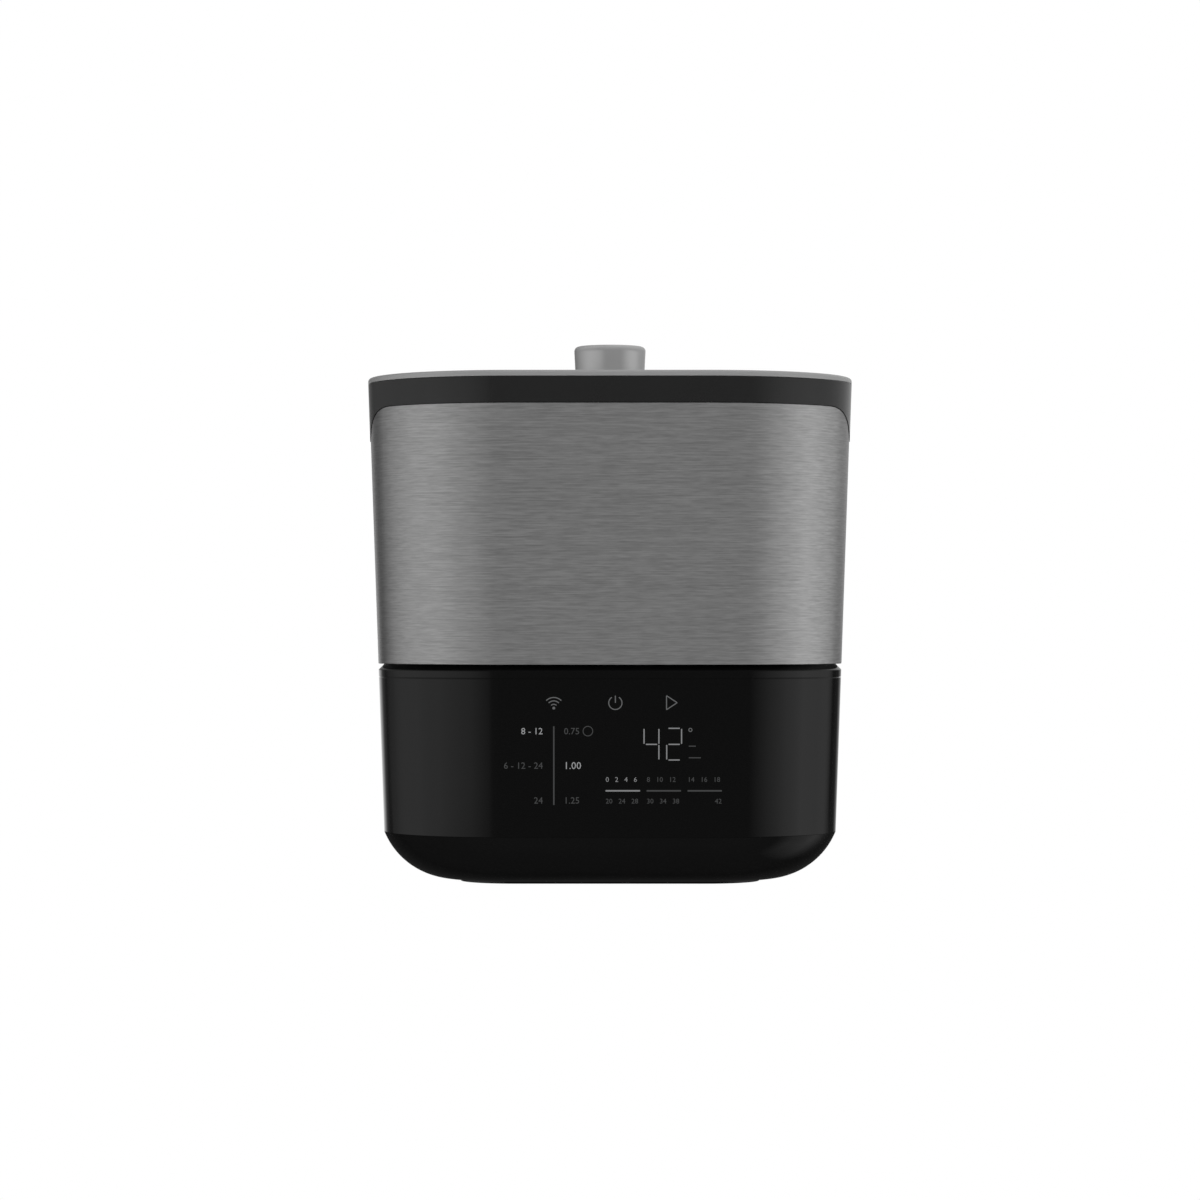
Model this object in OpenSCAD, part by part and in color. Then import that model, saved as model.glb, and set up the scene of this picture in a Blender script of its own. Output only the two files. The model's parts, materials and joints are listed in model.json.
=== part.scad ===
// Countertop yogurt maker: a drafted, round-cornered square body with a lift-off lid, a lift-out
// pot in a heated well, and a base that holds the cooling fan, the display and the power board.
// The part stands on z = 0, centred on the vertical axis. Its front faces -Y.

/* [Body] */
// Room between the pot's side and the outside of the body at the seam
body_room = 23.5; // [22.5:0.5:28]
// Distance from the middle to each corner's centre of curvature, along X and along Y
corner_c = 49; // [45:1:53]
// Draft of the side walls, in degrees on each side
draft = 2; // [1.5:0.1:2.5]
// How far the black collar and the lid stand proud of the shell
band_proud = 0.3; // [0.1:0.05:0.6]

/* [Heights] */
// How far the feet stand out under the tray
foot_stand = 1.5; // [1:0.25:3]
// Height of the rounded tray, from its underside to the crease
bowl_h = 24.2; // [21:0.1:27]
// Height of the base, from the crease to the seam
base_h = 86.4; // [84:0.1:92]
// Height of the ring between the parting line and the seam
base_top_h = 7.1; // [6.6:0.1:8.4]
// Height of the brushed shell that shows at the front
shell_h = 130.8; // [124:0.1:140]
// Height of the black band above the shell
band_h = 13; // [12:0.1:14]
// How far the ears hang below the band at both sides
ear_drop = 16.4; // [12:0.1:20]

/* [Outline details] */
// Radius of the tray's side, in section
bowl_r = 38.7; // [36:0.1:41]
// Bevel of the base under the shell, a shadow gap
seam_bevel = 3.1; // [2:0.1:3.4]
// Height of the fine groove at the parting line
groove_h = 0.35; // [0.2:0.05:0.6]
// Depth of the fine groove at the parting line
groove_d = 0.8; // [0.4:0.1:1.4]
// Length of an ear's straight lower edge
ear_w = 138.6; // [120:0.2:150]
// Radius of an ear's lower corners, seen from the side
ear_r = 23.2; // [18:0.1:26]
// Play between an ear and the shell's cut-out
ear_gap = 0.15; // [0.1:0.05:0.4]

/* [Walls] */
// Thickness of the steel shell
shell_t = 0.8; // [0.5:0.1:1.2]
// Width of the shell's inward hem at the seam
hem_w = 5.2; // [4.4:0.1:5.6]
// Thickness of the collar's outer wall
collar_wall = 3; // [2.4:0.1:3.6]
// Thickness of the collar's deck round the well
deck_t = 3; // [2:0.1:4]
// Depth of the deck below the collar's top edge
deck_drop = 8; // [7.6:0.1:8.6]
// Height of the collar's skirt behind the shell
skirt_h = 7; // [5:0.5:9]
// Thickness of the base housing's wall
base_wall = 2.3; // [1.8:0.1:2.6]
// Thickness of the tray's wall
tray_wall = 2.5; // [2:0.1:3]
// Height of the tray's locating lip above the crease
tray_lip_h = 4; // [3:0.5:6]
// Thickness of the chassis plate
chassis_t = 3; // [2:0.1:3.4]
// Play between parts that plug into each other
fit = 0.2; // [0.1:0.05:0.3]

/* [Lid] */
// Height of the lid plate's edge
lid_t = 3; // [2.6:0.1:4]
// Rounding of the lid plate's upper edge
lid_fillet = 1.7; // [1:0.1:2.4]
// Thickness of the lid plate's skin
lid_skin = 1.6; // [1.2:0.1:2]
// How far the flange of the lid's liner reaches past its contacts
flange_reach = 3.8; // [3.4:0.1:4.2]
// Thickness of the lid liner
liner_t = 2.4; // [2:0.1:2.8]
// Play between the liner's plug and the pot's inside
plug_gap = 6.5; // [5:0.5:10]
// Set-back of the silicone gasket's lip from the middle of the pot's rolled edge
gasket_inset = 3.5; // [2:0.5:5]
// Play between the gasket and the pot's rim with the lid down
gasket_gap = 0.3; // [0.2:0.05:0.5]

/* [Knob] */
// Height of the knob above the lid plate
knob_h = 20.3; // [18:0.1:24]
// Diameter across the knob's top, before its edge is rounded
knob_d = 38; // [34:0.1:42]
// How much the knob narrows downwards, in degrees on each side
knob_taper = 2.9; // [1:0.1:4]
// Rounding of the knob's upper edge
knob_fillet = 2.5; // [1:0.1:4]
// Circle of the knob's screws
knob_screw_pcd = 25; // [24:0.1:26]
// Diameter of the knob's screws
knob_screw_d = 3; // [2.5:0.1:3.5]

/* [Milk probe] */
// Diameter of the probe's jack
jack_d = 9.44; // [9:0.02:9.6]
// Running clearance round the jack, on the radius
jack_play = 0.08; // [0.05:0.01:0.1]
// Length of the jack above the probe's head
jack_l = 16; // [14:0.1:17]
// Wall of the socket round the jack
socket_wall = 2.1; // [1.6:0.1:2.3]
// Diameter of the probe's head
probe_head_d = 20; // [16:0.1:24]
// Height of the probe's head
probe_head_h = 11.6; // [9:0.1:14]
// Diameter of the steel rod
probe_rod_d = 5; // [4:0.1:6]
// Length of the rod below the head
probe_rod_l = 86; // [70:1:92]

/* [Pot] */
// Outer diameter of the pot
pot_d = 192; // [190:0.5:194]
// Thickness of the pot's wall
pot_wall = 1; // [0.8:0.1:1.4]
// Outer radius of the pot's lower corner
pot_corner = 16; // [10:0.5:22]
// Reach of the pot's rim, from the pot's side to the centre of its rolled edge
rim_reach = 9.5; // [8:0.5:10.5]
// Height of the rim's top above the deck
rim_lift = 4; // [3.6:0.1:4.4]
// Radius of the rolled edge
roll_r = 1.5; // [1.2:0.1:1.7]

/* [Well] */
// Play between the pot's side and the well
well_gap = 4; // [3.5:0.5:5.5]
// Thickness of the well's wall
well_wall = 1.2; // [0.8:0.1:1.6]
// Width of the well's flange under the deck
well_flange = 4.8; // [3:0.1:6]
// Thickness of the insulation round the well
insulation_t = 8.2; // [6:0.1:10]
// Play between the insulation and what it fits against
foam_gap = 0.2; // [0.1:0.05:0.4]

/* [Heater] */
// Diameter of the heater plate
heater_d = 152; // [140:1:154]
// Thickness of the heater plate
heater_t = 8; // [6:0.1:8.8]
// Height of the heater plate's top above the seam
heater_lift = 5.9; // [5.2:0.1:7]
// Play between the heater plate and the hole round it
heater_gap = 3; // [2:0.1:4]
// Diameter of the circle that the heating tube follows
element_ring_d = 96; // [80:1:100]
// Diameter of the heating tube
element_d = 8; // [6:0.1:9]
// Gap of the heating tube's ring, in degrees
element_open = 30; // [24:1:40]
// Length of the cold pins below the heating tube
element_pin_l = 8; // [6:0.1:10]
// Diameter of the cold pins
element_pin_d = 3.6; // [3:0.1:4]
// Height of the bosses under the heater plate
heater_boss_h = 8.5; // [8:0.1:10]
// Circle of the heater plate's bosses
heater_boss_pcd = 128; // [122:1:134]
// Thickness of the sheet-metal carrier
carrier_t = 1.5; // [1.2:0.1:2]
// Width of the carrier's arms
carrier_arm_w = 12; // [10:0.5:14]
// Circle of the carrier's screws into the chassis
carrier_screw_pcd = 178; // [174:1:182]

/* [Pot sensor] */
// Diameter of the sensor's cup
sensor_d = 16.8; // [14:0.1:18]
// Height of the sensor's cup
sensor_h = 5; // [4:0.1:6]
// Diameter of the sensor's stem
sensor_stem_d = 6; // [5:0.1:7]
// Play round the sensor's cup and stem
sensor_gap = 0.3; // [0.2:0.05:0.5]
// Diameter of the spring's wire
spring_wire_d = 1; // [0.8:0.1:1.4]
// Diameter of the spring at the middle of its wire
spring_d = 10; // [8.6:0.1:12]
// Turns of the spring
spring_turns = 5; // [4:1:7]

/* [Cooling fan] */
// Width of the fan's frame
fan_w = 80; // [76:1:82]
// Thickness of the fan
fan_t = 18; // [16:0.5:22]
// Height of the fan's posts above the tray's floor
fan_post_h = 4; // [3:0.5:6]
// Thickness of the frame's flanges
fan_flange_t = 3.5; // [2.5:0.1:4.5]
// Wall of the frame's tube
fan_tube_wall = 1.8; // [1.2:0.1:2.4]
// Air gap between the blades and the tube
blade_gap = 0.8; // [0.6:0.1:1.4]
// Diameter of the impeller's hub
hub_d = 34; // [30:0.5:38]
// Wall of the impeller's hub
hub_wall = 1.4; // [1:0.1:1.8]
// Number of blades
blade_count = 7; // [5:1:9]
// Thickness of a blade
blade_t = 1.4; // [1.1:0.1:2]
// Chord of a blade
blade_chord = 18; // [15:0.5:20]
// Pitch of the blades, in degrees from level
blade_pitch = 34; // [28:1:38]
// Radius of a blade's camber
blade_camber_r = 24; // [20:1:36]
// Diameter of the fan's shaft
shaft_d = 3; // [2.5:0.1:4]
// Running clearance round the shaft, on the radius
shaft_play = 0.05; // [0.02:0.01:0.1]
// Inset of the fan's screws from the frame's edges
fan_screw_inset = 4.25; // [3.75:0.25:5]

/* [Display] */
// Height of the display's middle above the crease
display_up = 43.3; // [42:0.1:46]
// Place of the middle of the left column of label windows
labels_x = -38.5; // [-40:0.5:-37]
// Width of a label's window
label_w = 15; // [12:0.5:16]
// Distance between the two columns of label windows
labels_gap = 21; // [19:0.5:24]
// Height of a label's window
label_h = 6; // [5:0.5:8]
// Pitch of the three rows of label windows
label_pitch = 17.5; // [15:0.5:18]
// Height of the middle row of label windows below the display's middle
labels_down = 7; // [6:0.5:8]
// Place of the first status window, to the right of the centre line
status_x = 6.2; // [5:0.1:8]
// Pitch of the three status windows
status_pitch = 20.5; // [18:0.5:21]
// Width of a status window
status_w = 15; // [12:0.5:16]
// Height of a status window
status_h = 10; // [8:0.5:12]
// Height of the status windows' middle above the light guide's lower edge
status_up = 8; // [7:0.5:9]
// Width of the display's light guide
guide_w = 114; // [108:1:116]
// Height of the display's light guide
guide_h = 62; // [58:0.5:64]
// Thickness of the light guide
guide_t = 6; // [5:0.1:7]
// Thickness of the foam tape that holds the light guide to the wall
tape_t = 0.8; // [0.6:0.1:1.2]
// Thickness of the circuit boards
board_t = 1.6; // [1:0.1:2]
// Height of a display digit
digit_h = 16.2; // [13:0.1:18]
// Width across the two digits
digits_w = 19.5; // [17:0.1:24]
// Place of the digits' middle, to the right of the centre line
digits_x = 26.2; // [24:0.1:28]
// Height of the digits' middle above the display's middle
digits_up = 3.5; // [2:0.1:5]
// Height of the touch keys above the display's middle
keys_up = 24; // [22:0.1:25]
// Place of the middle touch key, to the right of the centre line
keys_x = 2.7; // [0:0.1:5]
// Pitch of the touch keys
keys_pitch = 29; // [26:0.1:31]
// Diameter of a touch key's pad
key_pad_d = 8; // [6:0.1:9]

/* [Power board] */
// Width of the power board
board_w = 124; // [120:1:126]
// Depth of the power board
board_d = 45; // [42:0.5:46]
// Gap between the fan's frame and the power board
board_gap = 3; // [2:0.5:5]
// Height of the power board's posts above the tray's floor
board_post_h = 18; // [16:0.5:22]
// Inset of the board's screws from its edges
board_screw_inset = 5; // [4.5:0.1:6]
// Height of the terminal block
terminal_h = 10.5; // [8:0.1:13]

/* [Power inlet] */
// Height of the inlet's middle above the crease
inlet_up = 20; // [18:0.5:24]
// Width of the inlet's body
inlet_w = 27; // [26:0.1:29]
// Height of the inlet's body
inlet_h = 19.8; // [18:0.1:22]
// Depth of the inlet's body
inlet_depth = 20; // [18:0.5:21]
// Wall of the inlet's body
inlet_wall = 1.6; // [1.2:0.1:2]
// Width of the inlet's flange beyond its body
inlet_flange_w = 2; // [1.4:0.1:3]
// Thickness of the inlet's flange
inlet_flange_t = 1.5; // [1:0.1:2]
// Spacing of the inlet's two outer pins
pin_spacing = 14; // [13:0.1:15]
// Thickness of an inlet pin
pin_t = 2; // [1.8:0.1:2.2]
// Height of an inlet pin
pin_h = 4; // [3.6:0.1:4.4]
// Height of the earth pin above the two outer pins
pin_rise = 4; // [3.6:0.1:4.4]

/* [Vents] */
// Width of the slots in the back and under the fan
slot_w = 60; // [50:1:70]
// Height of a slot
slot_h = 2.6; // [2:0.1:3]
// Pitch of the slots
slot_pitch = 6; // [5:0.1:7]
// Number of slots in the back
slot_count = 5; // [3:1:5]

/* [Feet and screws] */
// Distance of the feet from the middle, along X and along Y
foot_c = 58; // [54:0.5:62]
// Diameter of a foot
foot_d = 18; // [14:0.5:22]
// Depth of a foot's pocket in the tray
foot_pocket = 1; // [0.6:0.1:1.4]
// Diameter of a foot's peg
foot_peg_d = 6; // [5:0.1:8]
// Place of the chassis columns, along X
column_x = 70; // [69:0.5:72]
// Place of the chassis columns, along Y
column_y = 62; // [58:0.5:64]
// Diameter of a chassis column
column_d = 10; // [9:0.5:11]
// Set-back of the collar's posts from the chassis plate's corners
post_inset = 5.76; // [4:0.02:8]
// Diameter of a collar post
post_d = 9; // [8:0.5:10]
// Diameter of the screws
screw_d = 3; // [2.5:0.1:3.5]
// Diameter of a screw's head
screw_head_d = 6; // [5.5:0.1:7]
// Height of a screw's head
screw_head_h = 1.2; // [1:0.1:1.4]
// Length of a screw under its head
screw_l = 12; // [10:0.5:16]

/* [Hidden] */
$fn = 96;

// Levels, from the surface it stands on upwards
tray_z = foot_stand;
floor_z = tray_z + tray_wall;
crease_z = tray_z + bowl_h;
seam_z = crease_z + base_h;
part_z = seam_z - base_top_h;
plate_z = seam_z - chassis_t;
shell_top_z = seam_z + shell_h;
ear_z = shell_top_z - ear_drop;
collar_top_z = shell_top_z + band_h;
deck_z = collar_top_z - deck_drop;
rim_z = deck_z + rim_lift;
lid_top_z = collar_top_z + lid_t;
lid_under_z = lid_top_z - lid_skin;
flange_z = lid_under_z - liner_t;
plug_z = deck_z;
knob_top_z = lid_top_z + knob_h;
heater_top_z = seam_z + heater_lift;
heater_low_z = heater_top_z - heater_t;
carrier_z = heater_low_z - heater_boss_h - carrier_t;
fan_z = floor_z + fan_post_h;
fan_top_z = fan_z + fan_t;
board_z = floor_z + board_post_h;
board_top_z = board_z + board_t;
cable_z = board_top_z + 5;
inlet_z = crease_z + inlet_up;
display_z = crease_z + display_up;
probe_top_z = plug_z - 0.3;
probe_low_z = probe_top_z - probe_head_h;

// Distance of the outer side from the corners' centre lines at height z
function wall_x(z) = pot_d / 2 + body_room - corner_c + (z - seam_z) * tan(draft);
lid_x = wall_x(collar_top_z) + band_proud;
plate_x = wall_x(seam_z) - hem_w - 1.3;
post_c = corner_c + (plate_x - post_d / 2 - post_inset) * cos(45);
plug_d = pot_d - 2 * pot_wall - 2 * plug_gap;
rim_d = pot_d + 2 * rim_reach;
gasket_d = rim_d - 2 * gasket_inset;
contact_y = rim_d / 2 + 3.5;
liner_d = 2 * (contact_y + flange_reach);
contact_x = 4;
well_d = pot_d + 2 * well_gap;
well_r = well_d / 2;
well_out_r = well_r + well_wall;
heater_hole_r = heater_d / 2 + heater_gap;
bowl_x = wall_x(crease_z) - sqrt(pow(bowl_r, 2) - pow(bowl_r - bowl_h, 2));
socket_r = jack_d / 2 + jack_play;
socket_out_r = socket_r + socket_wall;
fan_screw_spacing = fan_w - 2 * fan_screw_inset;
fan_bore_r = fan_w / 2 - fan_tube_wall - 0.7;
element_r = element_ring_d / 2;
board_y = fan_w / 2 + board_gap;
terminal_x = element_r * sin(element_open / 2);
terminal_y = element_r * cos(element_open / 2);
pilot_d = screw_d - 0.4;
slip_d = screw_d + 0.4;

black = "#1b1b1c";
gloss_black = "#0c0c0d";
satin_grey = "#9b9c9e";
steel = "#b9babc";
aluminium = "#c9cacc";
rubber = "#2a2a2a";
board_green = "#1f5a35";
brass = "#c9a646";
white = "#e6e4de";

// Sweeps a section, x outwards from the corners' centre lines and y up, round the body
module sweep() {
    for (quarter = [0:3]) rotate(90 * quarter) translate([corner_c, corner_c, 0]) {
        rotate_extrude(angle = 90) children();
        rotate([90, 0, 0]) linear_extrude(2 * corner_c) children();
    }
}

// The square block between the four corners' centre lines
module core(low, high)
    translate([-corner_c, -corner_c, low]) cube([2 * corner_c, 2 * corner_c, high - low]);

// Section of a wall that follows the draft between two heights
module wall_section(low, high, thick, proud = 0)
    polygon([[wall_x(low) + proud - thick, low], [wall_x(low) + proud, low],
        [wall_x(high) + proud, high], [wall_x(high) + proud - thick, high]]);

// Rectangle between two corners, given as [x, y]
module box2(low, high)
    translate(low) square([high.x - low.x, high.y - low.y]);

// Block between two corners, given as [x, y, z]
module box3(low, high)
    translate(low) cube([high.x - low.x, high.y - low.y, high.z - low.z]);

// Level plate whose upright edge lies at distance x from the corners' centre lines
module plate(x, low, high) {
    sweep() box2([0, low], [x, high]);
    core(low, high);
}

// Upright cylinder between two heights
module post(d, low, high)
    translate([0, 0, low]) cylinder(d = d, h = high - low);

// Upright ring between two heights
module ring(outer_r, inner_r, low, high)
    rotate_extrude() box2([inner_r, low], [outer_r, high]);

// Copies of a thing in the four quarters, at x and y from the middle
module in_corners(x, y)
    for (sx = [-1, 1], sy = [-1, 1]) translate([sx * x, sy * y, 0]) children();

// Copies of a thing round the middle
module around(count, radius, first = 0)
    for (i = [0:count - 1]) rotate(first + i * 360 / count) translate([radius, 0, 0]) children();

// Screw with its head's underside at z = 0 and its shank upwards
module screw(length = screw_l, d = screw_d) {
    translate([0, 0, -screw_head_h]) difference() {
        cylinder(d = screw_head_d, h = screw_head_h);
        translate([0, 0, -1]) cylinder(d = screw_d * 0.7, h = 1 + screw_head_h / 2, $fn = 6);
    }
    cylinder(d = d, h = length);
}

// ---- Lid ----

// Section of the lid plate: a skin with a turned-down, round-topped edge
module lid_section() {
    difference() {
        union() {
            box2([0, collar_top_z], [lid_x, lid_top_z - lid_fillet]);
            box2([0, collar_top_z], [lid_x - lid_fillet, lid_top_z]);
            intersection() {
                translate([lid_x - lid_fillet, lid_top_z - lid_fillet]) circle(lid_fillet);
                box2([0, lid_top_z - lid_fillet], [lid_x, lid_top_z]);
            }
        }
        box2([-1, collar_top_z - 1], [lid_x - lid_skin, lid_under_z]);
    }
}

module lid_plate() color(satin_grey) difference() {
    union() {
        sweep() lid_section();
        core(lid_under_z, lid_top_z);
    }
    post(2 * socket_out_r + 2 * fit, lid_under_z - 1, lid_top_z + 1);
    around(3, knob_screw_pcd / 2, 30) post(knob_screw_d + 0.4, lid_under_z - 1, lid_top_z + 1);
}

// Outer radius of the knob at height z
function knob_r(z) = knob_d / 2 - (knob_top_z - z) * tan(knob_taper);

module knob_section() {
    round_z = knob_top_z - knob_fillet;
    round_x = knob_r(round_z) - knob_fillet / cos(knob_taper);
    polygon([[0, lid_top_z], [knob_r(lid_top_z), lid_top_z],
        [round_x + knob_fillet * cos(knob_taper), round_z - knob_fillet * sin(knob_taper)],
        [round_x, round_z], [round_x, knob_top_z], [0, knob_top_z]]);
    translate([round_x, round_z]) circle(knob_fillet);
}

module lid_knob() color(satin_grey) difference() {
    rotate_extrude() knob_section();
    post(2 * socket_out_r + 2 * fit, lid_top_z - 1, plug_z + jack_l + socket_wall + 1);
    around(3, knob_screw_pcd / 2, 30) post(knob_screw_d - 0.4, lid_top_z - 1, lid_top_z + 11);
}

module knob_screws() color(steel) around(3, knob_screw_pcd / 2, 30)
    translate([0, 0, lid_under_z]) screw(10, knob_screw_d - 0.4);

// Two grooves for the probe's leads, and the windows of the contacts at the back
module lead_bars(grow, low, high)
    for (side = [-1, 1]) box3([side * contact_x - 1 - grow, socket_out_r, low],
        [side * contact_x + 1 + grow, contact_y + 3, high]);

module contact_pads(grow, low, high)
    for (side = [-1, 1])
        box3([side * contact_x - 1.5 - grow, contact_y - 2 - grow, low],
            [side * contact_x + 1.5 + grow, contact_y + 2 + grow, high]);

module lid_liner() color(black) difference() {
    union() {
        post(liner_d, flange_z, lid_under_z);
        post(plug_d, plug_z, lid_under_z);
    }
    post(plug_d - 2 * liner_t, plug_z + liner_t, lid_under_z + 1);
    post(2 * socket_out_r + 2 * fit, plug_z - 1, lid_under_z);
    lead_bars(fit, lid_under_z - 0.8, lid_under_z + 1);
    contact_pads(fit, flange_z - 1, lid_under_z);
}

module lid_insulation() color(white)
    ring(plug_d / 2 - liner_t - foam_gap, socket_out_r + 4.6, plug_z + liner_t, lid_under_z - 2);

module lid_leads() color(brass) lead_bars(0, lid_under_z - 0.8, lid_under_z - 0.2);

module lid_contacts() color(brass) contact_pads(0, flange_z - 1, lid_under_z - 0.8);

// Section of the gasket: a sleeve on the plug and a lip over the pot's rim
module gasket_section() {
    plug_r = plug_d / 2;
    low = rim_z + gasket_gap;
    polygon([[plug_r, low - 1.4], [plug_r + 4, low - 1.4], [plug_r + 4.8, low],
        [gasket_d / 2 - 0.8, low], [gasket_d / 2, low + 0.8], [gasket_d / 2 - 2, flange_z],
        [plug_r, flange_z]]);
}

module lid_gasket() color(rubber) rotate_extrude() gasket_section();

module probe_socket() color(black) difference() {
    union() {
        post(2 * socket_out_r, plug_z, plug_z + jack_l + socket_wall + 0.4);
        post(2 * socket_out_r + 8, plug_z + liner_t, plug_z + liner_t + 1.6);
    }
    post(2 * socket_r, plug_z - 1, plug_z + jack_l + 0.4);
}

// ---- Milk probe ----

module probe_jack() color(brass) difference() {
    union() {
        post(jack_d, probe_top_z, probe_top_z + jack_l - 1);
        translate([0, 0, probe_top_z + jack_l - 1]) cylinder(d1 = jack_d, d2 = jack_d - 2, h = 1);
    }
    ring(jack_d / 2 + 1, jack_d / 2 - 0.6, probe_top_z + jack_l / 2, probe_top_z + jack_l / 2 + 1.2);
}

module probe_head() color(black) difference() {
    rotate_extrude() {
        box2([0, probe_low_z + 2], [probe_head_d / 2, probe_top_z]);
        box2([0, probe_low_z], [probe_head_d / 2 - 2, probe_top_z]);
        translate([probe_head_d / 2 - 2, probe_low_z + 2]) circle(2);
    }
    around(12, probe_head_d / 2 + 0.4) post(2, probe_low_z + 3, probe_top_z - 1.5);
}

module probe_rod() color(steel) {
    tip_z = probe_low_z - probe_rod_l + probe_rod_d / 2;
    post(probe_rod_d, tip_z, probe_low_z);
    translate([0, 0, tip_z]) sphere(d = probe_rod_d);
}

// ---- Pot ----

// Half section of the space inside a pot of radius r that starts at height low
module pot_space(r, corner, low, high) {
    box2([0, low], [r - corner, high]);
    box2([0, low + corner], [r, high]);
    translate([r - corner, low + corner]) circle(corner);
}

module inner_pot() color(steel) rotate_extrude() {
    difference() {
        pot_space(pot_d / 2, pot_corner, heater_top_z, rim_z);
        pot_space(pot_d / 2 - pot_wall, pot_corner - pot_wall, heater_top_z + pot_wall, rim_z + 1);
    }
    box2([pot_d / 2 - pot_wall, rim_z - pot_wall], [rim_d / 2, rim_z]);
    translate([rim_d / 2, rim_z - roll_r]) circle(roll_r);
}

// ---- Upper housing ----

// Side view of an ear, y along and z up
module ear_outline(grow = 0) {
    round_z = ear_z + ear_r;
    box2([-ear_w / 2, ear_z - grow], [ear_w / 2, round_z]);
    box2([-ear_w / 2 - ear_r - grow, round_z], [ear_w / 2 + ear_r + grow, collar_top_z]);
    for (side = [-1, 1]) translate([side * ear_w / 2, round_z]) circle(ear_r + grow);
}

// The two blocks that hold the ears, one at each side
module ear_blocks(grow = 0)
    for (side = [0, 1]) mirror([side, 0, 0]) translate([corner_c, 0, 0]) rotate([90, 0, 90])
        linear_extrude(wall_x(collar_top_z) + 1) ear_outline(grow);

module upper_collar() color(black) difference() {
    union() {
        sweep() {
            wall_section(shell_top_z, collar_top_z, collar_wall, band_proud);
            wall_section(shell_top_z - skirt_h, deck_z - deck_t / 2, 2, -shell_t - fit);
            box2([0, deck_z - deck_t], [wall_x(deck_z) + band_proud - collar_wall / 2, deck_z]);
        }
        core(deck_z - deck_t, deck_z);
        intersection() {
            sweep() wall_section(ear_z, shell_top_z + 1, collar_wall, band_proud);
            ear_blocks();
        }
        in_corners(post_c, post_c) post(post_d, seam_z, deck_z - deck_t / 2);
    }
    post(well_d, deck_z - deck_t - 1, deck_z + 1);
    in_corners(post_c, post_c) post(pilot_d, seam_z - 1, seam_z + screw_l + 2);
}

module collar_contacts() color(brass)
    for (side = [-1, 1]) translate([side * contact_x, contact_y, 0]) {
        post(3, deck_z, deck_z + 2);
        post(1.8, deck_z + 2, flange_z - 1.3);
    }

module steel_shell() color(steel) difference() {
    sweep() {
        wall_section(seam_z, shell_top_z, shell_t);
        box2([wall_x(seam_z) - hem_w, seam_z], [wall_x(seam_z) - shell_t / 2, seam_z + shell_t]);
    }
    ear_blocks(ear_gap);
}

module inner_well() color(aluminium) rotate_extrude() {
    box2([well_r, seam_z], [well_out_r, deck_z - deck_t]);
    box2([heater_hole_r, seam_z], [well_out_r, seam_z + well_wall]);
    box2([well_r, deck_z - deck_t - well_wall], [well_out_r + well_flange, deck_z - deck_t]);
}

module well_insulation() color(white)
    ring(well_out_r + foam_gap + insulation_t, well_out_r + foam_gap, seam_z,
        deck_z - deck_t - well_wall - foam_gap);

// ---- Heater ----

module heater_plate() color(aluminium) difference() {
    union() {
        post(heater_d, heater_low_z, heater_top_z - 1);
        translate([0, 0, heater_top_z - 1]) cylinder(d1 = heater_d, d2 = heater_d - 2, h = 1);
        around(3, heater_boss_pcd / 2, 30) post(10, heater_low_z - heater_boss_h, heater_low_z + 1);
    }
    post(sensor_d + 2 * sensor_gap, heater_low_z - 1, heater_top_z + 1);
}

module heater_element() color("#6d6a66") {
    rotate(90 + element_open / 2) rotate_extrude(angle = 360 - element_open) {
        box2([element_r - element_d / 2, heater_low_z - element_d / 2], [element_r + element_d / 2, heater_low_z]);
        translate([element_r, heater_low_z - element_d / 2]) circle(element_d / 2);
    }
    for (side = [-1, 1]) translate([side * terminal_x, terminal_y, 0])
        post(element_pin_d, heater_low_z - element_d - element_pin_l, heater_low_z - element_d / 2);
}

// Sheet-metal spider that carries the heater plate and the pot sensor from the chassis
module heater_carrier() color(steel) difference() {
    union() {
        ring(heater_boss_pcd / 2 + 6, heater_boss_pcd / 2 - 6, carrier_z, carrier_z + carrier_t);
        post(24, carrier_z, carrier_z + carrier_t);
        for (arm = [0:2]) rotate(30 + 120 * arm) {
            box3([8, -carrier_arm_w / 2, carrier_z],
                [carrier_screw_pcd / 2, carrier_arm_w / 2, carrier_z + carrier_t]);
            translate([carrier_screw_pcd / 2, 0, 0]) {
                post(carrier_arm_w, carrier_z, carrier_z + carrier_t);
                post(column_d, carrier_z, plate_z);
            }
        }
    }
    post(sensor_stem_d + 2 * sensor_gap, carrier_z - 1, carrier_z + carrier_t + 1);
    around(3, carrier_screw_pcd / 2, 30) post(slip_d, carrier_z - 1, plate_z + 1);
}

module heater_screws() color(steel) around(3, carrier_screw_pcd / 2, 30)
    translate([0, 0, carrier_z]) screw(plate_z - carrier_z + chassis_t - 0.5, pilot_d);

module thermal_fuse() color(white) translate([-26, -14, 0]) {
    box3([-6, -5, heater_low_z - 1.5], [6, 5, heater_low_z]);
    translate([-8, 0, heater_low_z - 4]) rotate([0, 90, 0]) cylinder(d = 6, h = 16);
}

module pot_sensor() color(aluminium) {
    cup_z = heater_top_z - sensor_h;
    post(sensor_d, cup_z, heater_top_z);
    post(sensor_stem_d, carrier_z - 3, cup_z + 1);
}

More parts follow.
